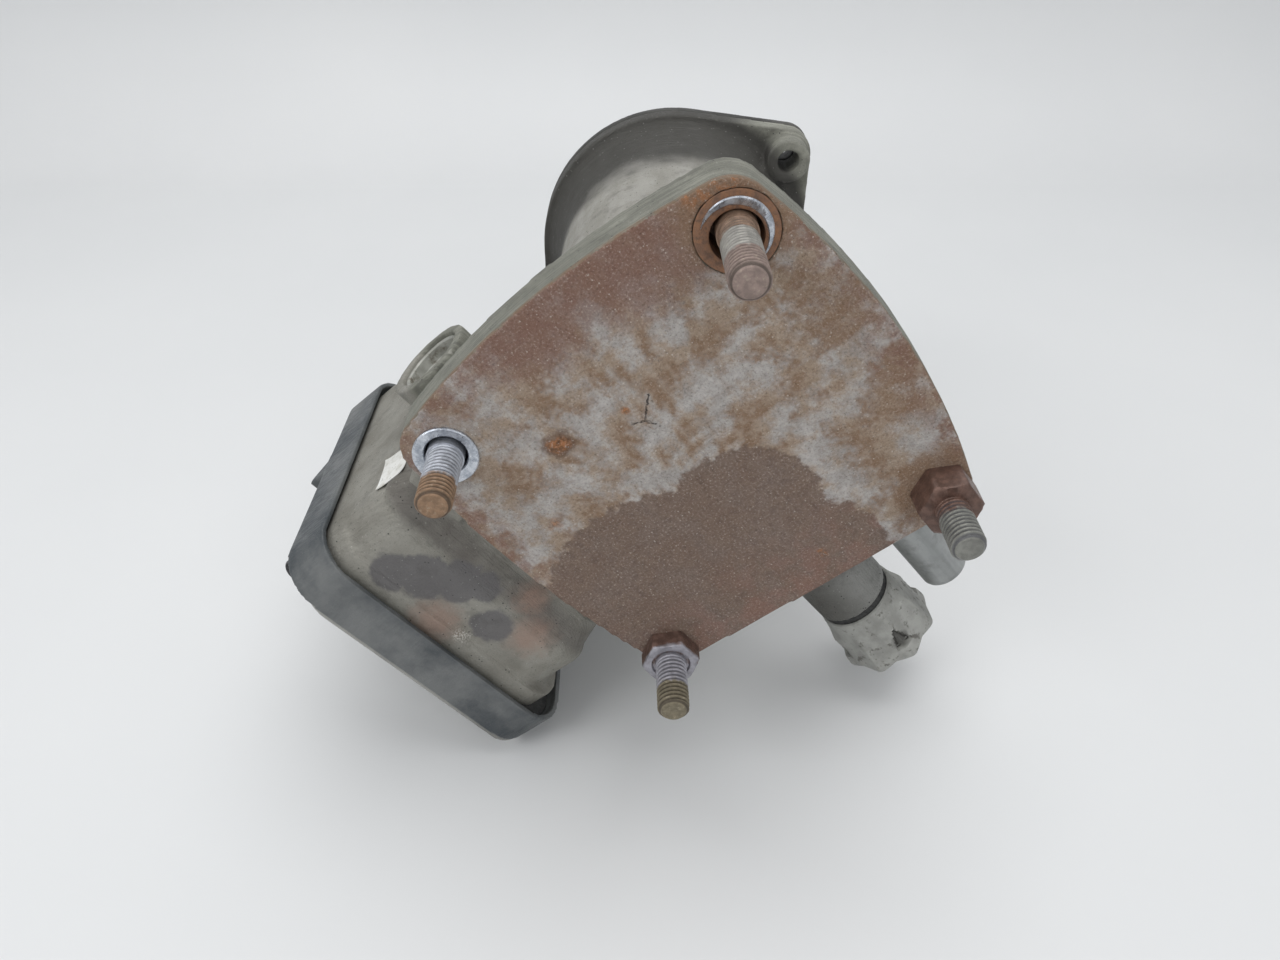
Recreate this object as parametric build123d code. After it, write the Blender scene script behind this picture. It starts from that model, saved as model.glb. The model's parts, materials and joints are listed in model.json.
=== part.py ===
"""Flange-mounted electric pump unit with its controller on the side.

The unit is drawn square to its own flange, in millimetres:
  x runs across the flange, and the controller sits at -x
  y runs along the shaft, from the flange face (y = 0) to the rear cover
  z runs up the flange, and the connector points along -z
Every piece is turned about the shaft axis as it is written, to the pose in which the
loose unit lies on its controller cover and its connector.
"""
from build123d import *
import math
import os

# ---- driving dimensions ----------------------------------------------------------
LYING_TILT = 39.5          # turn about the shaft axis from square to lying, degrees

STUD_SPACING = 80.0        # side of the square of four studs
STUD_R = 4.0               # M8 thread, outside
STUD_SEAT_R = 4.3          # stepped end of a stud, inside the flange
THREAD_START = -1.5        # y where the free thread of a through bolt begins
COLLAR_ACROSS = 13.0       # hexagons of the studs and bolts, across flats
SLEEVE_TOP_R, SLEEVE_LEFT_R = 8.6, 6.4
SPOTFACE_R = 8.6           # machined seats under a bolt head and under the relief plug
FLANGE_THICK = 12.0

CAN_R = 36.6               # outside of the motor can
BORE_R = 33.0              # bore of the can, which the motor is pressed into
BORE_START = 50.0          # y of the pump face inside the can
RIM_START = 132.0          # y where the can's rear rim begins
RIM_END = 138.0            # y of the joint between the can and the rear cover
RIM_R = 43.2
EAR_X, EAR_Z, EAR_R = 47.0, 1.0, 8.0
EAR_HOLE_R = 3.4
EAR_BOSS_START = 125.0
COVER_THICK = 8.0
COVER_END = RIM_END + COVER_THICK
RIM_SCREW_CIRCLE_R = 37.8

SHAFT_R = 4.0
PUMP_LENGTH = 14.0         # length of the two pump rotors
LOBES = 6                  # lobes of the inner pump rotor; the outer one has one more
ECCENTRICITY = 1.8
TOOTH_CIRCLE_R = 19.0      # radius on which the outer rotor's tooth centres lie
TOOTH_R = 4.5
OUTER_ROTOR_R = 22.0
MESH_GAP = 0.10
FACE_GAP = 0.05            # running gap at each end of a rotor
RUNNING_GAP = 0.06         # radial gap of the outer rotor in its ring
PUMP_SCREW_CIRCLE_R = 28.5

BEARING_R, BEARING_WIDTH = 11.0, 7.0
BALL_R, BALL_COUNT = 1.95, 7
BALL_PITCH_R = 7.5

STATOR_TEETH = 9
STATOR_START, STATOR_END = 84.0, 110.0
ROTOR_R = 18.9
AIR_GAP = 0.6
MAGNET_COUNT = 6

NECK_X, NECK_Y = -5.0, 36.0          # axis of the connector, along z
NECK_R = 11.5
NECK_END = -85.0
COUPLING_END = -107.0
TUBE_X, TUBE_Y = 21.0, 36.0          # axis of the outlet tube and the relief valve
TUBE_R, TUBE_BORE_R = 7.0, 4.8
TUBE_SHOULDER = -40.0                # z where the tube leaves the casting
TUBE_END = -95.0
PORT_X, PORT_Y = -47.0, 42.0         # axis of the inlet port, along z
PORT_R, PORT_TOP = 12.0, 48.0
PORT_CAP_R = 9.2

BOX_FACE_X = -90.0                   # plane of the controller box's open side
BOX_Y0, BOX_Y1 = 6.0, 91.0
BOX_Z0, BOX_Z1 = -42.0, 37.5
COVER_OUT_X = -101.0
COVER_Y0, COVER_Y1 = 3.0, 94.0
COVER_Z0, COVER_Z1 = -48.0, 39.8
COVER_CORNER = 12.0
COVER_WALL = 2.2
BOARD_X = -85.0

PUMP_END = BORE_START + PUMP_LENGTH + 2 * FACE_GAP
PLATE_END = PUMP_END + 13.0
FRONT_BEARING_Y = PLATE_END - BEARING_WIDTH
REAR_BEARING_Y = 120.0
HALF = STUD_SPACING / 2
TOP, LEFT = (HALF, HALF), (-HALF, HALF)
BOTTOM, RIGHT = (-HALF, -HALF), (HALF, -HALF)


# ---- helpers -----------------------------------------------------------------------
def rod_y(radius, y0, y1, x=0.0, z=0.0):
    """A round bar along the shaft direction."""
    return Pos(x, (y0 + y1) / 2, z) * Rot(90, 0, 0) * Cylinder(radius, abs(y1 - y0))


def rod_z(radius, z0, z1, x=0.0, y=0.0):
    return Pos(x, y, (z0 + z1) / 2) * Cylinder(radius, abs(z1 - z0))


def rod_x(radius, x0, x1, y=0.0, z=0.0):
    return Pos((x0 + x1) / 2, y, z) * Rot(0, 90, 0) * Cylinder(radius, abs(x1 - x0))


def ring_y(outer, inner, y0, y1, x=0.0, z=0.0):
    return rod_y(outer, y0, y1, x, z) - rod_y(inner, y0 - 1, y1 + 1, x, z)


def ring_z(outer, inner, z0, z1, x=0.0, y=0.0):
    return rod_z(outer, z0, z1, x, y) - rod_z(inner, z0 - 1, z1 + 1, x, y)


def block(x0, x1, y0, y1, z0, z1):
    size = (x1 - x0, y1 - y0, z1 - z0)
    return Pos((x0 + x1) / 2, (y0 + y1) / 2, (z0 + z1) / 2) * Box(*size)


def turned(points):
    """A solid of revolution about the shaft, from (radius, y) points."""
    outline = make_face(Polyline(*[(r, y, 0) for r, y in points], close=True))
    return revolve(outline, Axis.Y)


def plate_y(sketch, y0, y1):
    """A flat sketch, with its second axis as z, made into a plate from y0 to y1."""
    plane = Plane(origin=(0, y1, 0), x_dir=(1, 0, 0), z_dir=(0, -1, 0))
    return extrude(plane * sketch, y1 - y0)


def slab_x(x0, x1, y0, y1, z0, z1, corner):
    """A plate across x whose y-z outline has rounded corners."""
    plane = Plane(origin=(x0, (y0 + y1) / 2, (z0 + z1) / 2), x_dir=(0, 1, 0), z_dir=(1, 0, 0))
    return extrude(plane * RectangleRounded(y1 - y0, z1 - z0, corner), x1 - x0)


def hex_y(across_flats, y0, y1, x, z):
    return plate_y(Pos(x, z) * RegularPolygon(across_flats / 2, 6, major_radius=False), y0, y1)


def spun(piece, count, axis=Axis.Y):
    return [piece.rotate(axis, 360 * i / count) for i in range(count)]


def circle_spots(radius, angles):
    """Points (x, z) on a circle about the shaft."""
    return [(radius * math.cos(math.radians(a)), radius * math.sin(math.radians(a))) for a in angles]


def join(pieces):
    return Compound(children=list(pieces))


def side_arc(start, end, bow):
    """An arc from start to end that stands out by bow to the left of the way it runs."""
    dx, dz = end[0] - start[0], end[1] - start[1]
    length = math.hypot(dx, dz)
    middle = ((start[0] + end[0]) / 2 - bow * dz / length, (start[1] + end[1]) / 2 + bow * dx / length)
    return ThreePointArc(start, middle, end)


# ---- housing -----------------------------------------------------------------------
def flange_outline():
    """A square of side bows between round corners; it runs clockwise from the left corner."""
    corners = [
        ((-HALF, HALF + 2.0), 8.8, 135, 4.2), ((HALF, HALF + 2.4), 9.0, 45, 5.4),
        (RIGHT, 7.2, -45, 0.6), (BOTTOM, 5.6, -135, 3.4),
    ]
    spread = 38                                     # half the angle that a corner turns
    starts, ends, arcs = [], [], []
    for (cx, cz), radius, middle, _ in corners:
        spots = []
        for angle in (middle + spread, middle, middle - spread):
            turn = math.radians(angle)
            spots.append((cx + radius * math.cos(turn), cz + radius * math.sin(turn)))
        starts.append(spots[0])
        ends.append(spots[2])
        arcs.append(ThreePointArc(*spots))
    for i, corner in enumerate(corners):
        arcs.append(side_arc(ends[i], starts[(i + 1) % 4], corner[3]))
    return make_face(arcs)


def rim_outline(grow=0.0):
    """The round rear rim with an ear on each side, joined by straight tangents."""
    circles = [Circle(RIM_R + grow)]
    circles += [Pos(side * EAR_X, side * EAR_Z) * Circle(EAR_R + grow) for side in (1, -1)]
    edges = [circle.edge() for circle in circles]
    return make_hull(edges)


def can():
    """The round can, which flares out to the rim that takes the rear cover."""
    flare_start = 110.0
    profile = [
        Line((0, 2), (CAN_R + 1.4, 2)),
        Line((CAN_R + 1.4, 2), (CAN_R, flare_start)),
        ThreePointArc((CAN_R, flare_start), (CAN_R + 1.3, 123), (RIM_R - 1.0, RIM_START + 1)),
        Line((RIM_R - 1.0, RIM_START + 1), (0, RIM_START + 1)),
        Line((0, RIM_START + 1), (0, 2)),
    ]
    return revolve(make_face(profile), Axis.Y)


def controller_box():
    """The box that opens away from the motor, and the neck that joins it to the can."""
    neck = slab_x(-64, -24, 13, 88, -31, 34, 7)
    plane = Plane(origin=(-57, 49.5, 2), x_dir=(0, 1, 0), z_dir=(-1, 0, 0))
    bell = extrude(plane * RectangleRounded(75, 68, 7), 10, taper=-22)
    bell &= block(-80, -50, 0, 100, -60, BOX_Z1)
    drum = slab_x(-83, -66, BOX_Y0 + 1, BOX_Y1 - 1, -37.5, BOX_Z1, 11)
    drum = fillet(drum.faces().sort_by(Axis.X)[-1].edges(), 4)
    lip = slab_x(BOX_FACE_X, -83, BOX_Y0, BOX_Y1, BOX_Z0, BOX_Z1, 11)
    return neck + bell + drum + lip


def galleries():
    """Every drilled or cored passage for fluid and wires."""
    kidney_depth = 12.0
    crescent = ring_y(18.2, 13.2, BORE_START - kidney_depth, BORE_START + 1)
    inlet_kidney = crescent & block(-13, 13, 30, 60, 6, 20)
    outlet_kidney = crescent & block(-13, 13, 30, 60, -20, -6)
    cuts = [
        inlet_kidney,
        outlet_kidney,
        rod_z(7.5, 6, PORT_TOP + 1, PORT_X, PORT_Y),
        rod_z(PORT_CAP_R, PORT_TOP - 9, PORT_TOP + 1, PORT_X, PORT_Y),
        rod_x(4.5, PORT_X, -9, PORT_Y, 12),
        rod_z(TUBE_BORE_R, -34, -4, TUBE_X, TUBE_Y),
        rod_z(TUBE_R - 0.4, TUBE_SHOULDER - 1, -24, TUBE_X, TUBE_Y),
        rod_x(3.5, 9, TUBE_X, 40, -12),
        rod_z(3.4, -6, 0, TUBE_X, TUBE_Y),
        rod_z(5.6, -1, 36, TUBE_X, TUBE_Y),
        rod_x(3.0, 9, TUBE_X, 39, 11),
        rod_z(9.0, NECK_END - 1, -62, NECK_X, NECK_Y),
        rod_z(5.0, -64, -21, NECK_X, NECK_Y),
        rod_x(4.2, -66, NECK_X + 4, NECK_Y, -25),
        rod_x(4.0, -66, -30, 80.5, 0),
    ]
    return cuts


def housing():
    """One aluminium casting: flange, can, rim, controller box, port boss and connector neck."""
    flange = plate_y(flange_outline(), 0, FLANGE_THICK)
    body = flange + can() + controller_box()
    body += plate_y(rim_outline(), RIM_START, RIM_END)
    for side in (1, -1):
        body += rod_y(EAR_R - 1.2, EAR_BOSS_START, RIM_START + 1, side * EAR_X, side * EAR_Z)
        body += block(side * 39 - 5, side * 39 + 5, EAR_BOSS_START + 1, RIM_START + 1, side * EAR_Z - 3, side * EAR_Z + 3)
    body += rod_z(PORT_R, 20, PORT_TOP, PORT_X, PORT_Y)
    body += block(PORT_X - PORT_R + 0.6, -20, 10, PORT_Y + 6, 20, 37)
    body += rod_z(NECK_R, NECK_END, -20, NECK_X, NECK_Y)
    body += rod_z(9.5, TUBE_SHOULDER, -20, TUBE_X, TUBE_Y)
    body += rod_z(9.5, 20, 33, TUBE_X, TUBE_Y)
    body -= rod_y(BORE_R, BORE_START, RIM_END + 1)
    body -= slab_x(BOX_FACE_X - 1, -64, BOX_Y0 + 6, BOX_Y1 - 6, BOX_Z0 + 7, BOX_Z1 - 6, 7)
    for cut in galleries():
        body -= cut
    for side in (1, -1):
        body -= rod_y(EAR_HOLE_R, 100, RIM_END + 1, side * EAR_X, side * EAR_Z)
    for x, z in (RIGHT, BOTTOM):
        body -= rod_y(STUD_SEAT_R, -1, FLANGE_THICK + 1, x, z)
    body -= rod_y(SPOTFACE_R, FLANGE_THICK, FLANGE_THICK + 8, *LEFT)
    body -= rod_z(SPOTFACE_R, 33, 45, TUBE_X, TUBE_Y)
    body -= rod_y(SLEEVE_TOP_R, -1, FLANGE_THICK + 1, *TOP)
    body -= rod_y(SLEEVE_LEFT_R, -1, FLANGE_THICK + 1, *LEFT)
    for x, z in pump_screw_spots():
        body -= rod_y(2.0, BORE_START - 10, BORE_START + 1, x, z)
    for y, z in cover_screw_spots():
        body -= rod_x(1.6, BOX_FACE_X - 1, BOX_FACE_X + 6, y, z)
    for x, z in rim_screw_spots():
        body -= rod_y(1.6, RIM_END - 9, RIM_END + 1, x, z)
    return body


# ---- studs, bolts and sleeves --------------------------------------------------------
def stud_tip(x, z, y0, y1):
    tip = rod_y(STUD_R, y0, y1, x, z)
    return chamfer(tip.faces().sort_by(Axis.Y)[0].edges(), 1.0)


def collar_studs():
    """Two stepped studs with a hexagon collar that stands on the flange."""
    studs = []
    for (x, z), collar, reach in ((RIGHT, 8.0, 21.7), (BOTTOM, 7.0, 20.7)):
        stud = rod_y(STUD_SEAT_R, -1, FLANGE_THICK - 0.5, x, z)
        stud += hex_y(COLLAR_ACROSS, -collar, 0, x, z)
        stud += stud_tip(x, z, -reach, -collar)
        studs.append(stud)
    return join(studs)


def through_bolts():
    """Two bolts from behind the flange, with a hexagon head and a stepped shank."""
    bolts = []
    for (x, z), reach in ((TOP, 23.5), (LEFT, 19.0)):
        bolt = hex_y(COLLAR_ACROSS, FLANGE_THICK, FLANGE_THICK + 5.3, x, z)
        bolt += rod_y(STUD_SEAT_R, THREAD_START, FLANGE_THICK + 1, x, z)
        bolt += stud_tip(x, z, -reach, THREAD_START)
        bolts.append(bolt)
    return join(bolts)


def bolt_sleeves():
    """Two steel sleeves pressed into the flange, one wide and flush, one narrow and proud."""
    wide = ring_y(SLEEVE_TOP_R, STUD_SEAT_R + 1.1, 0, FLANGE_THICK, *TOP)
    narrow = ring_y(SLEEVE_LEFT_R, STUD_SEAT_R + 0.8, -0.8, FLANGE_THICK, *LEFT)
    return join([wide, narrow])


# ---- ports and relief valve ----------------------------------------------------------
def port_cap():
    """A cup pressed into the inlet port, open side out."""
    cap = rod_z(PORT_CAP_R, PORT_TOP - 9, PORT_TOP - 1, PORT_X, PORT_Y)
    hollow = rod_z(PORT_CAP_R - 1.2, PORT_TOP - 4.5, PORT_TOP, PORT_X, PORT_Y)
    below = rod_z(PORT_CAP_R - 1.8, PORT_TOP - 10, PORT_TOP - 6, PORT_X, PORT_Y)
    return cap - hollow - below


def outlet_tube():
    """The plain hose tube, with a slightly smaller end pressed into the casting."""
    tube = rod_z(TUBE_R, TUBE_END, TUBE_SHOULDER, TUBE_X, TUBE_Y)
    tube += rod_z(TUBE_R - 0.4, TUBE_SHOULDER, -24, TUBE_X, TUBE_Y)
    return tube - rod_z(TUBE_BORE_R, TUBE_END - 1, -20, TUBE_X, TUBE_Y)


def relief_plug():
    plug = rod_z(5.6, 24, 33, TUBE_X, TUBE_Y)
    plug += extrude(Pos(TUBE_X, TUBE_Y, 33) * RegularPolygon(6.5, 6, major_radius=False), 5)
    return plug - rod_z(3.0, 23, 30, TUBE_X, TUBE_Y)


def relief_poppet():
    """A piston with a cone that closes the top of the outlet passage."""
    poppet = rod_z(5.52, 2.0, 12, TUBE_X, TUBE_Y)
    poppet += Pos(TUBE_X, TUBE_Y, 1.1) * Cone(2.9, 4.7, 1.8)
    return poppet - rod_z(4.0, 5, 13, TUBE_X, TUBE_Y)


def relief_spring():
    """A compression spring from inside the poppet to inside the plug."""
    turns, low, high = 5.5, 5.4, 29.6
    path = Helix(pitch=(high - low) / turns, height=high - low, radius=2.3)
    wire = sweep((path ^ 0) * Circle(0.4), path, is_frenet=True)
    return Pos(TUBE_X, TUBE_Y, low) * wire


# ---- pump ----------------------------------------------------------------------------
def pump_screw_spots():
    return circle_spots(PUMP_SCREW_CIRCLE_R, (45, 135, 225, 315))


def inner_rotor():
    """The lobed rotor, offset inwards by a tooth radius from the path of a tooth centre."""
    teeth = LOBES + 1
    samples = 14 * LOBES
    points = []
    for i in range(samples):
        t = 2 * math.pi * i / samples
        px = TOOTH_CIRCLE_R * math.cos(t) + ECCENTRICITY * math.cos(teeth * t)
        pz = TOOTH_CIRCLE_R * math.sin(t) + ECCENTRICITY * math.sin(teeth * t)
        tx = -TOOTH_CIRCLE_R * math.sin(t) - ECCENTRICITY * teeth * math.sin(teeth * t)
        tz = TOOTH_CIRCLE_R * math.cos(t) + ECCENTRICITY * teeth * math.cos(teeth * t)
        length = math.hypot(tx, tz)
        inward = TOOTH_R + MESH_GAP
        points.append((px - inward * tz / length, pz + inward * tx / length))
    outline = make_face(Spline(*points, periodic=True))
    rotor = plate_y(outline, BORE_START + FACE_GAP, PUMP_END - FACE_GAP)
    rotor -= rod_y(SHAFT_R, BORE_START - 1, PUMP_END + 1)
    return rotor - key_block()


def outer_rotor():
    teeth = LOBES + 1
    root_r = TOOTH_CIRCLE_R - TOOTH_R + 2 * ECCENTRICITY + 2 * MESH_GAP
    outline = Circle(OUTER_ROTOR_R) - Circle(root_r)
    for i in range(teeth):
        turn = 2 * math.pi * i / teeth
        tooth = Pos(TOOTH_CIRCLE_R * math.cos(turn), TOOTH_CIRCLE_R * math.sin(turn)) * Circle(TOOTH_R)
        outline += tooth & Circle(OUTER_ROTOR_R - 1)
    return plate_y(Pos(ECCENTRICITY, 0) * outline, BORE_START + FACE_GAP, PUMP_END - FACE_GAP)


def pump_ring():
    ring = rod_y(BORE_R, BORE_START, PUMP_END)
    ring -= rod_y(OUTER_ROTOR_R + RUNNING_GAP, BORE_START - 1, PUMP_END + 1, ECCENTRICITY)
    for x, z in pump_screw_spots():
        ring -= rod_y(2.1, BORE_START - 1, PUMP_END + 1, x, z)
    return ring


def bearing_plate():
    """The plate that closes the pump and seats the shaft seal and the front bearing."""
    plate = rod_y(BORE_R, PUMP_END, PLATE_END)
    plate -= rod_y(BEARING_R, FRONT_BEARING_Y, PLATE_END + 1)
    plate -= rod_y(SHAFT_R + 0.3, PUMP_END - 1, PLATE_END)
    plate -= rod_y(8.0, PUMP_END + 1, FRONT_BEARING_Y + 1)
    for x, z in pump_screw_spots():
        plate -= rod_y(2.1, PUMP_END - 1, PLATE_END + 1, x, z)
        plate -= rod_y(3.8, PLATE_END - 4.2, PLATE_END + 1, x, z)
    return plate


def pump_screws():
    screws = []
    for x, z in pump_screw_spots():
        screw = rod_y(3.5, PLATE_END - 4.2, PLATE_END - 0.4, x, z)
        screw += rod_y(2.0, BORE_START - 9, PLATE_END - 4, x, z)
        screw -= hex_y(3.0, PLATE_END - 2.4, PLATE_END, x, z)
        screws.append(screw)
    return join(screws)


def shaft_seal():
    """A lip seal: a flanged ring whose lip runs just off the shaft."""
    seal = ring_y(8.0, 6.2, PUMP_END + 1, FRONT_BEARING_Y)
    seal += ring_y(7.0, SHAFT_R + 0.05, PUMP_END + 1, PUMP_END + 2.2)
    return seal


# ---- shaft and bearings ----------------------------------------------------------------
def key_block():
    return block(-1.5, 1.5, BORE_START + 2, BORE_START + 12, SHAFT_R - 1.5, SHAFT_R + 1.5)


def shaft():
    bar = rod_y(SHAFT_R, BORE_START + FACE_GAP, REAR_BEARING_Y + BEARING_WIDTH + 1)
    bar += rod_y(6.0, PLATE_END + 1.0, STATOR_START)
    bar += rod_y(6.0, STATOR_END, REAR_BEARING_Y)
    return bar - key_block()


def bearing_starts():
    return (FRONT_BEARING_Y, REAR_BEARING_Y)


def groove(y0):
    """The ball track of a bearing that starts at y0."""
    track = Torus(BALL_PITCH_R, BALL_R + 0.05)
    return Pos(0, y0 + BEARING_WIDTH / 2, 0) * Rot(90, 0, 0) * track


def bearing_outer_rings():
    return join(ring_y(BEARING_R, 8.8, y, y + BEARING_WIDTH) - groove(y) for y in bearing_starts())


def bearing_inner_rings():
    return join(ring_y(6.2, SHAFT_R, y, y + BEARING_WIDTH) - groove(y) for y in bearing_starts())


def bearing_balls():
    balls = []
    for y in bearing_starts():
        ball = Pos(BALL_PITCH_R, y + BEARING_WIDTH / 2, 0) * Sphere(BALL_R)
        balls += spun(ball, BALL_COUNT)
    return join(balls)


def bearing_cages():
    cages = []
    for y in bearing_starts():
        cage = ring_y(8.0, 7.0, y + 1, y + BEARING_WIDTH - 1)
        pocket = rod_x(BALL_R + 0.1, BALL_PITCH_R - 2, BALL_PITCH_R + 2, y + BEARING_WIDTH / 2)
        for cut in spun(pocket, BALL_COUNT):
            cage -= cut
        cages.append(cage)
    return join(cages)


# ---- motor -----------------------------------------------------------------------------
def stator_core():
    """A laminated ring with teeth that end in wide shoes."""
    shoe_inner = ROTOR_R + AIR_GAP
    core = ring_y(BORE_R, 29.0, STATOR_START, STATOR_END)
    stem = block(20.5, 29.5, STATOR_START, STATOR_END, -2.6, 2.6)
    wedge = block(10, 24, STATOR_START, STATOR_END, -5.2, 5.2)
    shoe = ring_y(shoe_inner + 1.8, shoe_inner, STATOR_START, STATOR_END) & wedge
    for tooth in spun(stem + shoe, STATOR_TEETH):
        core += tooth
    return core


def stator_coils():
    coil = block(21.9, 28.3, STATOR_START - 3, STATOR_END + 3, -4.9, 4.9)
    coil = fillet(coil.edges().filter_by(Axis.X), 1.2)
    coil -= block(20, 30, STATOR_START - 0.1, STATOR_END + 0.1, -2.7, 2.7)
    return join(spun(coil, STATOR_TEETH))


def rotor_core():
    core = ring_y(15.6, SHAFT_R, STATOR_START + 0.5, STATOR_END - 0.5)
    for hole in spun(rod_y(2.6, STATOR_START, STATOR_END, 10.0, 0), MAGNET_COUNT):
        core -= hole
    return core


def rotor_magnets():
    band = ring_y(ROTOR_R, 15.6, STATOR_START + 1, STATOR_END - 1)
    magnet = band & block(8, 20, STATOR_START, STATOR_END, -8.3, 8.3)
    return join(spun(magnet, MAGNET_COUNT))


def sensor_magnet():
    """A small ring magnet behind the rear bearing, whose field tells the rotor's angle."""
    return ring_y(7.0, SHAFT_R, STATOR_END + 6.2, REAR_BEARING_Y - 0.6) - rod_y(6.0, 100, 200)


# ---- rear cover --------------------------------------------------------------------------
def rim_screw_spots():
    return circle_spots(RIM_SCREW_CIRCLE_R, (60, 120, 240, 300))


def rear_cover():
    """The dark lid: an eared plate with a stepped edge, a spigot and the rear bearing's hub."""
    end = COVER_END
    cover = plate_y(rim_outline(), RIM_END, RIM_END + 4.0)
    cover += plate_y(rim_outline(-1.4), RIM_END + 4.0, end)
    cover += rod_y(30.0, end - 1, end + 1.6)
    cover += ring_y(BORE_R - 0.05, 29.0, RIM_END - 5, RIM_END + 1)
    cover += rod_y(14.5, REAR_BEARING_Y + 0.4, RIM_END + 1)
    cover -= rod_y(BEARING_R, REAR_BEARING_Y - 1, REAR_BEARING_Y + BEARING_WIDTH)
    cover -= rod_y(7.5, REAR_BEARING_Y, REAR_BEARING_Y + BEARING_WIDTH + 3)
    cover -= ring_y(34.0, 31.6, RIM_END - 3.4, RIM_END - 1.2)
    for side in (1, -1):
        cover -= rod_y(EAR_HOLE_R, RIM_END - 1, end + 1, side * EAR_X, side * EAR_Z)
    for x, z in rim_screw_spots():
        cover -= rod_y(1.8, RIM_END - 1, end + 1, x, z)
        cover -= rod_y(3.2, end - 2.6, end + 1, x, z)
    return cover


def rear_cover_seal():
    """A square-cut sealing ring in the spigot's groove."""
    return ring_y(BORE_R, 31.6, RIM_END - 3.4, RIM_END - 1.2)


def rear_cover_screws():
    end = COVER_END
    screws = []
    for x, z in rim_screw_spots():
        screw = rod_y(3.0, end - 2.6, end - 0.1, x, z)
        screw += rod_y(1.6, RIM_END - 8, end - 2.4, x, z)
        screw -= hex_y(2.5, end - 1.6, end, x, z)
        screws.append(screw)
    return join(screws)


# ---- controller --------------------------------------------------------------------------
def cover_screw_spots():
    return [(y, z) for y in (BOX_Y0 + 8.5, BOX_Y1 - 8.5) for z in (BOX_Z0 + 3.4, BOX_Z1 - 3.0)]


def controller_cover():
    """The black tray over the box, with a deep skirt and a small pointed release tab."""
    tray = slab_x(COVER_OUT_X, BOX_FACE_X, COVER_Y0, COVER_Y1, COVER_Z0, COVER_Z1, COVER_CORNER)
    tray -= slab_x(
        COVER_OUT_X + COVER_WALL, BOX_FACE_X + 3, COVER_Y0 + COVER_WALL, COVER_Y1 - COVER_WALL,
        COVER_Z0 + COVER_WALL, COVER_Z1 - COVER_WALL, COVER_CORNER - COVER_WALL)
    skirt = slab_x(BOX_FACE_X, BOX_FACE_X + 2.5, COVER_Y0, COVER_Y1, COVER_Z0, COVER_Z1, COVER_CORNER)
    skirt -= slab_x(
        BOX_FACE_X - 1, BOX_FACE_X + 4, COVER_Y0 + 1.6, COVER_Y1 - 1.6,
        COVER_Z0 + 1.6, COVER_Z1 - 1.6, COVER_CORNER - 1.6)
    tray += skirt
    for y, z in cover_screw_spots():
        tray += rod_x(4.2, COVER_OUT_X + 1, BOX_FACE_X - 1.5, y, z)
        tray -= rod_x(1.8, COVER_OUT_X - 1, BOX_FACE_X, y, z)
    root, tip = COVER_OUT_X + 1, COVER_OUT_X - 7
    outline = make_face(Polyline((root, 59), (tip, 52.5), (tip, 51), (root, 49.5), close=True))
    return tray + Pos(0, 0, COVER_Z1 - 4) * extrude(outline, 3.5)


def cover_frame():
    """The rubber frame that seals the tray to the box and fills the skirt on three sides."""
    inset = COVER_WALL + 0.3
    frame = slab_x(
        BOX_FACE_X - 1.5, BOX_FACE_X, COVER_Y0 + inset, COVER_Y1 - inset,
        COVER_Z0 + inset, COVER_Z1 - inset, COVER_CORNER - inset)
    frame -= slab_x(BOX_FACE_X - 2, BOX_FACE_X + 1, BOX_Y0 + 6, BOX_Y1 - 6, BOX_Z0 + 7, BOX_Z1 - 6, 7)
    for y, z in cover_screw_spots():
        frame -= rod_x(1.8, BOX_FACE_X - 2, BOX_FACE_X + 1, y, z)
    return frame


def outer_plate():
    """The thin metal plate on the cover's outer face."""
    x1 = COVER_OUT_X
    plate = slab_x(x1 - 1.8, x1, COVER_Y0 + 0.6, COVER_Y1 - 3, COVER_Z0 + 0.6, COVER_Z1 - 6, 11)
    for y, z in cover_screw_spots():
        plate -= rod_x(1.8, x1 - 3, x1 + 1, y, z)
    return plate


def cover_screws():
    screws = []
    head = COVER_OUT_X - 1.8
    for y, z in cover_screw_spots():
        screw = rod_x(3.2, head - 2.0, head, y, z)
        screw += rod_x(1.6, head - 0.5, BOX_FACE_X + 5, y, z)
        screw -= rod_x(1.2, head - 3, head - 0.8, y, z)
        screws.append(screw)
    return join(screws)


def board_screw_spots():
    return [(y, z) for y in (BOX_Y0 + 11, BOX_Y1 - 11) for z in (BOX_Z0 + 12, BOX_Z1 - 11)]


def board_posts():
    """Four posts that carry the circuit board; they are part of the casting."""
    posts = [rod_x(3.2, BOARD_X + 1.6, -62, y, z) for y, z in board_screw_spots()]
    holes = [rod_x(1.2, BOARD_X, BOARD_X + 9, y, z) for y, z in board_screw_spots()]
    return posts, holes


def circuit_board():
    board = slab_x(BOARD_X, BOARD_X + 1.6, BOX_Y0 + 7, BOX_Y1 - 7, BOX_Z0 + 8, BOX_Z1 - 7, 6)
    for y, z in board_screw_spots():
        board -= rod_x(1.3, BOARD_X - 1, BOARD_X + 3, y, z)
    return board


def board_screws():
    screws = []
    for y, z in board_screw_spots():
        screw = rod_x(2.4, BOARD_X - 1.8, BOARD_X, y, z)
        screw += rod_x(1.2, BOARD_X - 0.5, BOARD_X + 8, y, z)
        screws.append(screw - rod_x(0.8, BOARD_X - 2, BOARD_X - 0.8, y, z))
    return join(screws)


def board_chips():
    """The processor and six power transistors."""
    chips = [block(BOARD_X - 1.6, BOARD_X, 30, 42, -12, 0)]
    for row in range(2):
        for column in range(3):
            y, z = 52 + 9 * column, -24 + 12 * row
            chips.append(block(BOARD_X - 2.3, BOARD_X, y, y + 6.5, z, z + 8))
    return join(chips)


def board_capacitors():
    return join(
        rod_x(5.0, BOARD_X - 12, BOARD_X, y, 14) + rod_x(4.6, BOARD_X - 12.6, BOARD_X - 11, y, 14)
        for y in (30, 43, 56))


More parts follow.
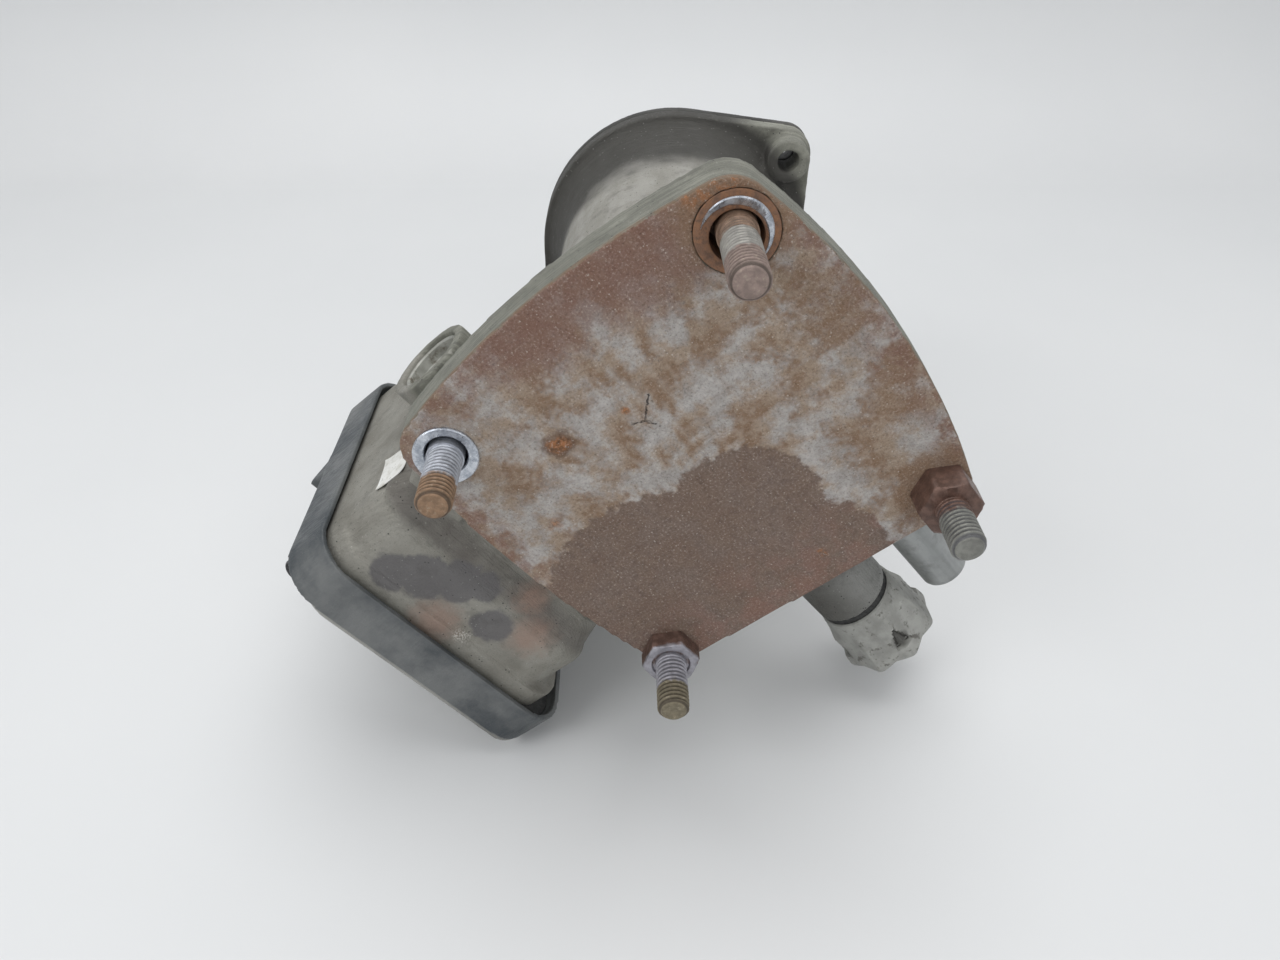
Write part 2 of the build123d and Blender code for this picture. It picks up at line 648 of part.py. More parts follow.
def bent_lead(points, radius):
    """A round wire along straight runs with rounded corners."""
    path = FilletPolyline(*points, radius=2.0)
    return sweep((path ^ 0) * Circle(radius), path)


def phase_leads():
    """Three insulated wires from the stator to the circuit board."""
    leads = []
    for dz in (-2.3, 0.0, 2.3):
        leads.append(bent_lead([(-30.5, 80.5, dz), (-76, 80.5, dz), (-76, 72, dz), (BOARD_X + 1.6, 72, dz)], 0.9))
    return join(leads)


def signal_leads():
    """Three insulated wires from the connector's insert to the circuit board."""
    leads = []
    for shift in (-2.3, 0.0, 2.3):
        leads.append(bent_lead([
            (NECK_X + shift, NECK_Y, -76),
            (NECK_X + shift, NECK_Y, -25 + shift),
            (-74, NECK_Y, -25 + shift),
            (-74, NECK_Y + 9, -25 + shift),
            (BOARD_X + 1.6, NECK_Y + 9, -25 + shift),
        ], 0.9))
    return join(leads)


def label():
    """A blank label on the upper end of the controller box, near the flange."""
    return block(-70.5, -60.7, 16, 29, BOX_Z1, BOX_Z1 + 0.2)


# ---- connector -------------------------------------------------------------------------
def connector_shell():
    """The plastic socket that the harness plug goes into."""
    shell = rod_z(9.0, -84, -76, NECK_X, NECK_Y)
    shell += ring_z(10.9, 8.8, COUPLING_END + 6, NECK_END - 1.6, NECK_X, NECK_Y)
    shell += ring_z(9.0, 6.5, -90, -80, NECK_X, NECK_Y)
    shell += ring_z(9.6, 8.0, -92, NECK_END, NECK_X, NECK_Y)
    for x, y in pin_spots():
        shell -= rod_z(0.9, -90, -70, x, y)
    return shell


def pin_spots():
    spots = [(NECK_X, NECK_Y)]
    for i in range(6):
        turn = 2 * math.pi * i / 6
        spots.append((NECK_X + 4.6 * math.cos(turn), NECK_Y + 4.6 * math.sin(turn)))
    return spots


def connector_pins():
    return join(rod_z(0.9, -95, -76, x, y) for x, y in pin_spots())


def connector_seal():
    """The rubber ring in the groove between the neck and the coupling ring."""
    return ring_z(11.0, 9.6, NECK_END - 1.6, NECK_END, NECK_X, NECK_Y)


def coupling_ring():
    """The bayonet ring: eight flats that flare towards the plug, with grip recesses."""
    top = NECK_END - 1.8
    plane = Plane(origin=(NECK_X, NECK_Y, top), x_dir=(1, 0, 0), z_dir=(0, 0, -1))
    flare = extrude(plane * RegularPolygon(11.6, 8, major_radius=False), top - COUPLING_END, taper=-8)
    flare &= Pos(NECK_X, NECK_Y, (top + COUPLING_END) / 2) * Cylinder(15.4, top - COUPLING_END)
    flare -= rod_z(11.0, top + 1, COUPLING_END - 1, NECK_X, NECK_Y)
    flare -= rod_z(12.4, COUPLING_END - 1, COUPLING_END + 5, NECK_X, NECK_Y)
    for i in range(8):
        notch = Pos(15.4, 0, COUPLING_END) * Rot(0, 90, 0) * Cylinder(4.2, 8)
        flare -= Pos(NECK_X, NECK_Y, 0) * Rot(0, 0, 45 * i + 22.5) * Pos(0, 0, -2.8) * notch
    for i in range(4):
        mark = Pos(14.0, 0, COUPLING_END + 9) * Rot(0, 90, 0) * extrude(RegularPolygon(2.2, 3), 4)
        flare -= Pos(NECK_X, NECK_Y, 0) * Rot(0, 0, 90 * i) * mark
    return flare


# ---- writing ---------------------------------------------------------------------------
def finished_housing():
    posts, holes = board_posts()
    body = housing()
    for post in posts:
        body += post
    for hole in holes:
        body -= hole
    return body


PIECES = {
    "housing": finished_housing,
    "collar_studs": collar_studs,
    "through_bolts": through_bolts,
    "bolt_sleeves": bolt_sleeves,
    "port_cap": port_cap,
    "outlet_tube": outlet_tube,
    "relief_plug": relief_plug,
    "relief_poppet": relief_poppet,
    "relief_spring": relief_spring,
    "inner_rotor": inner_rotor,
    "outer_rotor": outer_rotor,
    "pump_ring": pump_ring,
    "bearing_plate": bearing_plate,
    "pump_screws": pump_screws,
    "shaft_seal": shaft_seal,
    "drive_key": key_block,
    "shaft": shaft,
    "bearing_outer_rings": bearing_outer_rings,
    "bearing_inner_rings": bearing_inner_rings,
    "bearing_balls": bearing_balls,
    "bearing_cages": bearing_cages,
    "stator_core": stator_core,
    "stator_coils": stator_coils,
    "rotor_core": rotor_core,
    "rotor_magnets": rotor_magnets,
    "sensor_magnet": sensor_magnet,
    "rear_cover": rear_cover,
    "rear_cover_seal": rear_cover_seal,
    "rear_cover_screws": rear_cover_screws,
    "controller_cover": controller_cover,
    "cover_frame": cover_frame,
    "outer_plate": outer_plate,
    "cover_screws": cover_screws,
    "circuit_board": circuit_board,
    "board_screws": board_screws,
    "board_chips": board_chips,
    "board_capacitors": board_capacitors,
    "phase_leads": phase_leads,
    "signal_leads": signal_leads,
    "label": label,
    "connector_shell": connector_shell,
    "connector_pins": connector_pins,
    "connector_seal": connector_seal,
    "coupling_ring": coupling_ring,
}

os.makedirs("parts", exist_ok=True)
for node, make in PIECES.items():
    piece = make().rotate(Axis.Y, -LYING_TILT)
    export_step(piece, f"parts/{node}.step")
    print(node, "written")
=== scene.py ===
# %% [markdown]
# # A used electric pump unit
# The real object is an aluminium casting with a round motor can, a square flange on four studs,
# a controller box with a black cover, and a plastic connector with a turning ring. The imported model
# gives every part its size and place. This lesson builds the finish over it: softened castings,
# cut threads, rust, scuffed plastic and dirt.
# The frame is loaded first, and its box is kept, because nothing may grow past it.

import json
import math

import bmesh
import bpy
import numpy as np
from mathutils import Matrix, Vector, noise


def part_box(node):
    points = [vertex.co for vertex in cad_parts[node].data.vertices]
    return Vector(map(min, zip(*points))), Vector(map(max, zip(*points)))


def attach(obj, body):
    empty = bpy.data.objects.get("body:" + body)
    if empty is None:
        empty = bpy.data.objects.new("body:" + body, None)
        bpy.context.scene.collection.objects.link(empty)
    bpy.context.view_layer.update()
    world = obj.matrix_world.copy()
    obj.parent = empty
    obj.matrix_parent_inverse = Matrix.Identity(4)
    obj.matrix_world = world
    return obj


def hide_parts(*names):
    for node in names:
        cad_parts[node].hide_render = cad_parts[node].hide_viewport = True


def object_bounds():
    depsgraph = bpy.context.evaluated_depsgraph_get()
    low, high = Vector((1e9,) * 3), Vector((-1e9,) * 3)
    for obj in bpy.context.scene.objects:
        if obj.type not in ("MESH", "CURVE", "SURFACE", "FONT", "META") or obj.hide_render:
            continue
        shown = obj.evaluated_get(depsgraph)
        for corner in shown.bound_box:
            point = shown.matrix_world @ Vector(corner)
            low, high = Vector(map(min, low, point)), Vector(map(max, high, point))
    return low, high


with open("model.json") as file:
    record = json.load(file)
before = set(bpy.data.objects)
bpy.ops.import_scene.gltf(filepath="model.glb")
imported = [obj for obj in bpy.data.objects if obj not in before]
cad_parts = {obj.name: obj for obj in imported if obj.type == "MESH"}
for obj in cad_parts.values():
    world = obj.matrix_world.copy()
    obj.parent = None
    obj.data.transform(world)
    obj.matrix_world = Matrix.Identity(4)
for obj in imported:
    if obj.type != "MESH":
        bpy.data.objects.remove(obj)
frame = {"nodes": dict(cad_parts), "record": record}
cad_box = [list(corner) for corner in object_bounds()]
print("CAD nodes:", len(frame["nodes"]), "box:", cad_box)

# %% [markdown]
# The unit lies tilted, but its drawing is square to the flange: x across, y along the shaft, z up.
# It is easier to think in that square frame, in millimetres, and to tilt each finished mesh.
# The tilt is read from the outlet tube's mount, whose axis is the drawing's -z.

# %% The drawing's square frame
MM = 0.001
mounts = {m["name"]: m for m in frame["record"]["mounts"]}
tube_axis = mounts["outlet_tube"]["axis"]
TILT = math.atan2(tube_axis[0], -tube_axis[2])
LIE = Matrix.Rotation(-TILT, 4, "Y")
SQUARE = LIE.inverted()
print("tilt:", round(math.degrees(TILT), 2), "degrees")


def drawn_place(point):
    """A point of the row frame, in metres, as millimetres in the drawing."""
    return SQUARE @ Vector(point) / MM


# %% Where the main features are, in the drawing
HALF = mounts["flange_studs"]["dims"]["pcd_mm"] / 2 / math.sqrt(2)
TOP, LEFT, RIGHT, BOTTOM = (HALF, HALF), (-HALF, HALF), (HALF, -HALF), (-HALF, -HALF)
TUBE = drawn_place(mounts["outlet_tube"]["pos_m"])
SOCKET = drawn_place(mounts["harness_socket"]["pos_m"])
PORT = drawn_place(mounts["inlet_port"]["pos_m"])
print("studs at +-", round(HALF, 2), "tube", TUBE, "socket", SOCKET, "port", PORT)

# %% [markdown]
# ## The camera
# The camera stands in front of the flange and looks down on it at about 36 degrees. It is made first,
# so that every later step can be judged from the same place.

# %% Camera
CAMERA_PLACE = (-0.01635, -0.17725, 0.12503)
CAMERA_PITCH, CAMERA_YAW = math.radians(35.6), math.radians(1.0)
SENSOR_WIDTH, LENS = 36, 27.03
NEAREST = 0.01
camera = bpy.data.objects.new("camera", bpy.data.cameras.new("camera"))
bpy.context.scene.collection.objects.link(camera)
camera.location = CAMERA_PLACE
camera.rotation_euler = (math.pi / 2 - CAMERA_PITCH, 0, -CAMERA_YAW)
camera.data.sensor_width = SENSOR_WIDTH
camera.data.lens = LENS
camera.data.clip_start = NEAREST
bpy.context.scene.camera = camera
print("lens:", camera.data.lens, "mm")

# %% [markdown]
# ## Short calls for shader trees
# A shader tree takes many small steps. This helper adds a node and wires it in one call, and a value
# may be a number, a colour or another node's output. It keeps each finish readable as a recipe.


# %% Shader tree helper
class Recipe:
    """Adds nodes to one shader tree; each call gives back the output that the next one uses."""

    def __init__(self, tree):
        self.tree = tree

    def feed(self, socket, value):
        if isinstance(value, bpy.types.NodeSocket):
            self.tree.links.new(value, socket)
        else:
            socket.default_value = value

    def node(self, kind, inputs=None, **settings):
        made = self.tree.nodes.new("ShaderNode" + kind)
        for key, value in settings.items():
            setattr(made, key, value)
        for key, value in (inputs or {}).items():
            self.feed(made.inputs[key], value)
        return made

    def math(self, operation, a, b=0.0):
        return self.node("Math", {0: a, 1: b}, operation=operation).outputs[0]

    def all_of(self, *masks):
        made = masks[0]
        for mask in masks[1:]:
            made = self.math("MULTIPLY", made, mask)
        return made

    def any_of(self, *masks):
        made = masks[0]
        for mask in masks[1:]:
            made = self.math("MAXIMUM", made, mask)
        return made

    def ramp(self, value, low, high):
        """0 below low and 1 above high, smooth between; low may be the larger, which turns it round."""
        flip = low > high
        inputs = {0: value, 1: min(low, high), 2: max(low, high), 3: float(flip), 4: float(not flip)}
        return self.node("MapRange", inputs, interpolation_type="SMOOTHSTEP").outputs[0]

    def mix(self, mask, a, b):
        made = self.node("Mix", data_type="RGBA")
        self.feed(made.inputs[0], mask)
        self.feed(made.inputs[6], rgba(a))
        self.feed(made.inputs[7], rgba(b))
        return made.outputs[2]

    def blend(self, mask, a, b):
        """A number between a and b."""
        return self.node("Mix", {0: mask, 2: a, 3: b}).outputs[0]

    def noise(self, place, size, detail=3.0, roughness=0.55):
        inputs = {"Vector": place, "Scale": 1.0 / size, "Detail": detail, "Roughness": roughness}
        return self.node("TexNoise", inputs).outputs[0]

    def stretched(self, place, sizes):
        """The place, divided by a size on each axis, for marks that run one way."""
        scale = tuple(1.0 / s for s in sizes)
        return self.node("VectorMath", {0: place, 1: scale}, operation="MULTIPLY").outputs[0]

    def use(self, group, **inputs):
        made = self.node("Group", node_tree=group)
        for key, value in inputs.items():
            self.feed(made.inputs[key.replace("_", " ")], value)
        return made.outputs

    def away_from_axis(self, x, z, spot_xz=(0.0, 0.0)):
        """The distance from an axis along y."""
        across = {0: self.math("SUBTRACT", x, spot_xz[0]), 2: self.math("SUBTRACT", z, spot_xz[1])}
        flat = self.node("CombineXYZ", across).outputs[0]
        return self.node("VectorMath", {0: flat}, operation="LENGTH").outputs[1]

    def bump(self, height, depth_mm, normal=None):
        inputs = {"Height": height, "Distance": depth_mm * MM, "Strength": 1.0}
        made = self.node("Bump", inputs)
        if normal is not None:
            self.feed(made.inputs["Normal"], normal)
        return made.outputs[0]


def rgba(colour):
    return (*colour, 1.0) if isinstance(colour, tuple) and len(colour) == 3 else colour


def shader_group(name, inputs, outputs):
    """An empty group with named sockets: its recipe, and its input and output nodes."""
    kinds = {"vector": "NodeSocketVector", "value": "NodeSocketFloat"}
    tree = bpy.data.node_groups.new(name, "ShaderNodeTree")
    for socket, kind, value in inputs:
        made = tree.interface.new_socket(socket, in_out="INPUT", socket_type=kinds[kind])
        made.default_value = value
    for socket, kind in outputs:
        tree.interface.new_socket(socket, in_out="OUTPUT", socket_type=kinds[kind])
    enter, leave = tree.nodes.new("NodeGroupInput"), tree.nodes.new("NodeGroupOutput")
    return tree, Recipe(tree), enter.outputs, leave.inputs


# %% [markdown]
# ## Shared effects
# Several finishes use the same effects, so each is a group with named sockets.
# The first gives the place on the surface in the drawing's millimetres: every stain, scratch and grain
# is then set out in real sizes, and it stays on its part when the part moves.

# %% Place on the drawing, in millimetres
drawing_group, r, enter, leave = shader_group("drawing_place", [], [("Place", "vector")])
coordinates = r.node("TexCoord").outputs["Object"]
turn = r.node("Mapping", {"Vector": coordinates, "Rotation": (0, TILT, 0), "Scale": (1 / MM,) * 3})
r.feed(leave["Place"], turn.outputs[0])
print("group:", drawing_group.name)

# %% [markdown]
# Corrosion comes in islands of many sizes. Fractal noise cut at a threshold gives them, and the
# softness of the cut tells a crisp flake from a faint cloud.

# %% Blotches
blotch_group, r, enter, leave = shader_group(
    "blotches",
    [("Place", "vector", (0, 0, 0)), ("Size", "value", 5),
     ("Level", "value", 0.5), ("Softness", "value", 0.08)],
    [("Mask", "value")])
scale = r.math("DIVIDE", 1.0, enter["Size"])
inputs = {"Vector": enter["Place"], "Scale": scale, "Detail": 6.0, "Roughness": 0.62}
clouds = r.node("TexNoise", inputs).outputs[0]
low = r.math("SUBTRACT", enter["Level"], enter["Softness"])
high = r.math("ADD", enter["Level"], enter["Softness"])
cut = r.node("MapRange", {0: clouds, 1: low, 2: high}, interpolation_type="SMOOTHSTEP")
r.feed(leave["Mask"], cut.outputs[0])
print("group:", blotch_group.name)

# %% [markdown]
# Some stains have a known place. A spot is the distance from a centre, roughened by noise so that its
# rim is ragged and never a perfect circle.

# %% Spot
spot_group, r, enter, leave = shader_group(
    "spot",
    [("Place", "vector", (0, 0, 0)), ("Centre", "vector", (0, 0, 0)), ("Radius", "value", 5),
     ("Ragged", "value", 2), ("Softness", "value", 1)],
    [("Mask", "value")])
away = r.node("VectorMath", {0: enter["Place"], 1: enter["Centre"]}, operation="DISTANCE").outputs[1]
rim = r.node("TexNoise", {"Vector": enter["Place"], "Scale": 0.35, "Detail": 5.0}).outputs[0]
shift = r.math("MULTIPLY", r.math("SUBTRACT", rim, 0.5), r.math("MULTIPLY", enter["Ragged"], 4.0))
away = r.math("ADD", away, shift)
outer = r.math("ADD", enter["Radius"], enter["Softness"])
inner = r.math("SUBTRACT", enter["Radius"], enter["Softness"])
r.feed(leave["Mask"], r.math("SUBTRACT", 1.0, r.node(
    "MapRange", {0: away, 1: inner, 2: outer}, interpolation_type="SMOOTHSTEP").outputs[0]))
print("group:", spot_group.name)

# %% [markdown]
# A sand-cast skin is a fine grain with a few bright flecks, where the metal shows through, and a few
# dark pits. Both come from one cell pattern, cut at its two ends.

# %% Casting grain
grain_group, r, enter, leave = shader_group(
    "casting_grain",
    [("Place", "vector", (0, 0, 0)), ("Size", "value", 0.5)],
    [("Height", "value"), ("Fleck", "value"), ("Pit", "value")])
scale = r.math("DIVIDE", 1.0, enter["Size"])
inputs = {"Vector": enter["Place"], "Scale": scale, "Detail": 4.0, "Roughness": 0.7}
fine = r.node("TexNoise", inputs).outputs[0]
cells = r.node("TexVoronoi", {"Vector": enter["Place"], "Scale": r.math("MULTIPLY", scale, 0.9)})
shade = r.node("SeparateColor", {0: cells.outputs["Color"]}).outputs[0]
bright = r.all_of(r.ramp(shade, 0.95, 0.98), r.ramp(cells.outputs["Distance"], 0.4, 0.15))
dark = r.all_of(r.ramp(shade, 0.025, 0.01), r.ramp(cells.outputs["Distance"], 0.5, 0.2))
r.feed(leave["Height"], fine)
r.feed(leave["Fleck"], bright)
r.feed(leave["Pit"], dark)
print("group:", grain_group.name)

# %% [markdown]
# Corners rub bare and bright. Pointiness is high on outer edges of a fine mesh; noise breaks it up,
# because handling never wears an edge evenly.

# %% Worn edges
wear_group, r, enter, leave = shader_group(
    "worn_edges",
    [("Place", "vector", (0, 0, 0)), ("Start", "value", 0.53), ("Full", "value", 0.6)],
    [("Mask", "value")])
sharp = r.node("NewGeometry").outputs["Pointiness"]
edge = r.node("MapRange", {0: sharp, 1: enter["Start"], 2: enter["Full"]}).outputs[0]
broken = r.ramp(r.noise(enter["Place"], 4.0, 5.0), 0.35, 0.6)
r.feed(leave["Mask"], r.all_of(edge, broken))
print("group:", wear_group.name)

# %% [markdown]
# A crack is a thin dark line. The distance to a straight stretch, bent by noise, draws one, and a few
# stretches make the branched crack in the middle of the flange.

# %% Hairline
hair_group, r, enter, leave = shader_group(
    "hairline",
    [("Place", "vector", (0, 0, 0)), ("Start", "vector", (0, 0, 0)),
     ("End", "vector", (1, 0, 0)), ("Width", "value", 0.2)],
    [("Mask", "value")])
wander = r.node("TexNoise", {"Vector": enter["Place"], "Scale": 0.9, "Detail": 3.0}).outputs["Color"]
offset = r.node("VectorMath", {0: wander, 1: (0.5, 0.5, 0.5)}, operation="SUBTRACT").outputs[0]
offset = r.node("VectorMath", {0: offset, "Scale": 1.6}, operation="SCALE").outputs[0]
bent = r.node("VectorMath", {0: enter["Place"], 1: offset}, operation="ADD").outputs[0]
from_start = r.node("VectorMath", {0: bent, 1: enter["Start"]}, operation="SUBTRACT").outputs[0]
whole = r.node("VectorMath", {0: enter["End"], 1: enter["Start"]}, operation="SUBTRACT").outputs[0]
along = r.node("VectorMath", {0: from_start, 1: whole}, operation="DOT_PRODUCT").outputs[1]
length = r.node("VectorMath", {0: whole, 1: whole}, operation="DOT_PRODUCT").outputs[1]
share = r.node("Math", {0: along, 1: length}, operation="DIVIDE", use_clamp=True).outputs[0]
foot = r.node("VectorMath", {0: whole, "Scale": share}, operation="SCALE").outputs[0]
gap = r.node("VectorMath", {0: from_start, 1: foot}, operation="DISTANCE").outputs[1]
clear = r.node("MapRange", {0: gap, 1: 0.0, 2: enter["Width"]}).outputs[0]
r.feed(leave["Mask"], r.math("SUBTRACT", 1.0, clear))
print("group:", hair_group.name)

# %% [markdown]
# ## Starting a finish
# Every finish starts the same way: a Principled shader, and the place on the drawing in millimetres.


# %% New finish
def new_finish(name, **constants):
    """A material with its recipe, its shader and the place; constants are set on the shader itself."""
    material = bpy.data.materials.new(name)
    material.use_nodes = True
    recipe = Recipe(material.node_tree)
    shader = material.node_tree.nodes["Principled BSDF"]
    for socket, value in constants.items():
        shader.inputs[socket.replace("_", " ")].default_value = value
    place = recipe.use(drawing_group)["Place"]
    return material, recipe, shader, place


def paint(recipe, shader, **values):
    """Feeds the shader's sockets, named with _ for a space."""
    for socket, value in values.items():
        recipe.feed(shader.inputs[socket.replace("_", " ")], value)


def share_of(recipe, mask, strength):
    """A mask made weaker."""
    return recipe.math("MULTIPLY", mask, strength)


def axes(recipe, place):
    """x, y and z of the place."""
    return recipe.node("SeparateXYZ", {0: place}).outputs[:3]


def spot(recipe, place, centre, radius, ragged=1.0, softness=1.0):
    sockets = {"Place": place, "Centre": centre, "Radius": radius, "Ragged": ragged, "Softness": softness}
    return recipe.use(spot_group, **sockets)["Mask"]


def blotches(recipe, place, size, level, softness=0.08):
    return recipe.use(blotch_group, Place=place, Size=size, Level=level, Softness=softness)["Mask"]


# %% [markdown]
# ## The rusted mounting face
# An iron bracket rusted against this face for years. Over the bare grey metal lie clouds of brown, a
# red-brown band along the upper edge, orange round the upper stud, and one dark, even stain over the
# lower third. Each layer is mixed over the last, as it would be painted. The places are in millimetres
# from the middle of the four studs.

# %% Rusted face finish
GREY_SKIN, PALE_SKIN = (0.36, 0.335, 0.315), (0.5, 0.475, 0.455)
BROWN_RUST, RED_RUST = (0.235, 0.145, 0.088), (0.205, 0.112, 0.082)
ORANGE_RUST, OCHRE = (0.38, 0.15, 0.05), (0.33, 0.215, 0.115)
DARK_STAIN, LIGHT_STAIN, DEEP_STAIN = (0.165, 0.108, 0.08), (0.2, 0.14, 0.105), (0.1, 0.062, 0.045)
GREY_FLECK, BROWN_FLECK = (0.2, 0.17, 0.15), (0.17, 0.1, 0.055)
BLISTER_RIM, BLISTER_DARK = (0.11, 0.055, 0.03), (0.15, 0.07, 0.03)
BRIGHT_GRAIN, DARK_GRAIN, CRACK_BLACK = (0.62, 0.56, 0.5), (0.035, 0.022, 0.015), (0.02, 0.016, 0.014)
rusted_face, r, shader, place = new_finish("rusted_face", Metallic=0.0)
x, _, z = axes(r, place)
grain = r.use(grain_group, Place=place, Size=0.55)
cloud = blotches(r, place, 6.0, 0.5, 0.14)
colour = r.mix(cloud, GREY_SKIN, PALE_SKIN)
thin_rust = blotches(r, place, 10.0, 0.5, 0.09)
colour = r.mix(share_of(r, thin_rust, 0.62), colour, OCHRE)
brown = r.all_of(blotches(r, place, 9.0, 0.53, 0.06), blotches(r, place, 2.4, 0.45, 0.12))
colour = r.mix(share_of(r, brown, 0.9), colour, BROWN_RUST)
mottle = r.ramp(r.noise(place, 1.7, 5.0, 0.75), 0.38, 0.62)
colour = r.mix(share_of(r, mottle, 0.32), colour, r.mix(thin_rust, GREY_FLECK, BROWN_FLECK))
edge_x, edge_z = r.math("ABSOLUTE", x), r.math("ABSOLUTE", z)
uneven_rim = r.math("MULTIPLY", r.noise(place, 9.0, 4.0), 16.0)
rim = r.ramp(r.math("ADD", r.any_of(edge_x, edge_z), uneven_rim), 49.0, 58.0)
colour = r.mix(r.all_of(rim, r.blend(blotches(r, place, 3.5, 0.5, 0.08), 0.12, 0.75)), colour, RED_RUST)
band = r.any_of(spot(r, place, (-4, 0, 55), 15, 3, 5), spot(r, place, (19, 0, 50), 13, 3, 5),
                spot(r, place, (30, 0, 45), 9, 2, 4))
colour = r.mix(share_of(r, band, 0.8), colour, RED_RUST)
right_side = r.any_of(spot(r, place, (46, 0, 14), 8, 4, 5), spot(r, place, (45, 0, -12), 7, 4, 5))
colour = r.mix(r.all_of(right_side, r.blend(mottle, 0.35, 0.8)), colour, BROWN_RUST)
stud_rust = r.any_of(spot(r, place, (42, 0, 44), 12, 1.5, 3), spot(r, place, (40, 0, -38), 10, 2, 2))
colour = r.mix(share_of(r, stud_rust, 0.85), colour, BROWN_RUST)
over_stud = r.all_of(spot(r, place, (42, 0, 52), 6.5, 1, 2), blotches(r, place, 2.2, 0.5))
colour = r.mix(share_of(r, over_stud, 0.6), colour, ORANGE_RUST)
lower = r.any_of(
    spot(r, place, (-26, 0, -30), 35, 2.0, 0.8), spot(r, place, (2, 0, -16), 18, 2.0, 0.8),
    spot(r, place, (2, 0, -40), 22, 2.0, 0.8))
stain = r.mix(share_of(r, blotches(r, place, 5.0, 0.52, 0.2), 0.6), DARK_STAIN, LIGHT_STAIN)
stain = r.mix(r.all_of(mottle, blotches(r, place, 2.6, 0.5, 0.1), 0.6), stain, DEEP_STAIN)
stain = r.mix(r.all_of(r.ramp(z, -20.0, -44.0), blotches(r, place, 8.0, 0.5, 0.1)), stain, RED_RUST)
colour = r.mix(share_of(r, lower, 0.92), colour, stain)
bright_specks = r.any_of(
    spot(r, place, (-19, 0, 26), 2.2, 1.0, 0.8), spot(r, place, (-35, 0, 10), 1.4, 1.0, 0.9),
    spot(r, place, (9, 0, -38), 1.1, 1.0, 0.8), spot(r, place, (-2, 0, 23), 0.9, 0.6, 0.6))
colour = r.mix(share_of(r, spot(r, place, (-19, 0, 26), 3.6, 1.2, 1.0), 0.7), colour, BLISTER_RIM)
blister = r.mix(blotches(r, place, 1.1, 0.5, 0.1), BLISTER_DARK, ORANGE_RUST)
colour = r.mix(share_of(r, bright_specks, 0.85), colour, blister)
speckle = r.noise(place, 0.6, 3.0, 0.8)
colour = r.mix(r.ramp(speckle, 0.52, 0.75), colour, r.mix(0.55, colour, BRIGHT_GRAIN))
colour = r.mix(r.ramp(speckle, 0.48, 0.28), colour, r.mix(0.6, colour, DARK_GRAIN))
FORK = (-0.5, 18.5)
crack_stretches = ((4, 23, 1, 20), (1, 20, *FORK), (*FORK, 1, 15.5), (*FORK, -3, 19.5))
crack = r.any_of(*[
    r.use(hair_group, Place=place, Start=(a, 0, b), End=(c, 0, d), Width=0.32)["Mask"]
    for a, b, c, d in crack_stretches])
colour = r.mix(crack, colour, CRACK_BLACK)
colour = r.mix(share_of(r, grain["Fleck"], 0.6), colour, BRIGHT_GRAIN)
paint(r, shader, Base_Color=colour, Roughness=r.blend(grain["Fleck"], r.blend(lower, 0.85, 0.66), 0.25))
height = r.math("ADD", grain["Height"], r.math("MULTIPLY", crack, -2.0))
flakes = r.math("MULTIPLY", r.noise(place, 2.2, 5.0, 0.6), 0.8)
normal = r.bump(r.math("ADD", height, flakes), 0.42)
r.feed(shader.inputs["Normal"], normal)
print("finish:", rusted_face.name)

# %% [markdown]
# ## The cast aluminium skin
# One casting, but it has weathered differently from place to place: the flange's side is olive grey
# with long scratches, the can is a paler warm grey darkened under the rim by soot and painted shade,
# the box is beige with dark worn patches and pink rust stains, and the connector's neck is nearly
# black. The regions are told apart by their place, so that they run into each other without a seam.

# %% Cast skin finish
OLIVE_GREY, LIGHT_OLIVE = (0.2, 0.2, 0.165), (0.3, 0.3, 0.255)
CAN_GREY, CAN_LIGHT = (0.31, 0.3, 0.265), (0.38, 0.368, 0.335)
BOX_BEIGE, BOX_PALE = (0.235, 0.225, 0.195), (0.31, 0.3, 0.265)
WORN_DARK, PINK_STAIN = (0.125, 0.12, 0.124), (0.34, 0.225, 0.175)
NECK_DARK, NECK_PALE = (0.125, 0.122, 0.11), (0.29, 0.29, 0.275)
GRIME_AND_SHADE, STEP_SHADE, RIM_SHADE_AND_SOOT = (0.05, 0.048, 0.042), (0.125, 0.112, 0.102), (0.04, 0.038, 0.033)
SCRATCH_DARK, SPECK_DARK, PIT_BLACK = (0.1, 0.1, 0.085), (0.04, 0.04, 0.035), (0.03, 0.03, 0.028)
FLAKED_PALE, EDGE_BARE, FLECK_SILVER = (0.62, 0.6, 0.55), (0.52, 0.51, 0.46), (0.6, 0.6, 0.57)
cast_skin, r, shader, place = new_finish("cast_aluminium_skin", Metallic=0.0)
x, y, z = axes(r, place)
grain = r.use(grain_group, Place=place, Size=0.5)
cloud = blotches(r, place, 9.0, 0.5, 0.16)
lines = r.ramp(r.noise(r.stretched(place, (14.0, 0.7, 14.0)), 1.0, 5.0, 0.7), 0.42, 0.62)
colour = r.mix(cloud, OLIVE_GREY, LIGHT_OLIVE)
colour = r.mix(share_of(r, lines, 0.5), colour, SCRATCH_DARK)
from_shaft = r.away_from_axis(x, z)
on_can = r.all_of(r.ramp(y, 12.2, 13.2), r.ramp(from_shaft, 48.0, 44.0))
streaks = r.noise(r.stretched(place, (5.0, 20.0, 5.0)), 1.0, 3.0, 0.5)
can_colour = r.mix(r.ramp(streaks, 0.35, 0.65), CAN_GREY, CAN_LIGHT)
# Painted shade under the rim, mixed with soot, darkens the can towards its rear end.
shade_and_soot_under_rim = r.ramp(r.math("ADD", y, r.math("MULTIPLY", r.noise(place, 12.0, 4.0), 16.0)), 106.0, 127.0)
can_colour = r.mix(share_of(r, shade_and_soot_under_rim, 0.95), can_colour, RIM_SHADE_AND_SOOT)
colour = r.mix(on_can, colour, can_colour)
on_box = r.ramp(x, -50.0, -53.0)
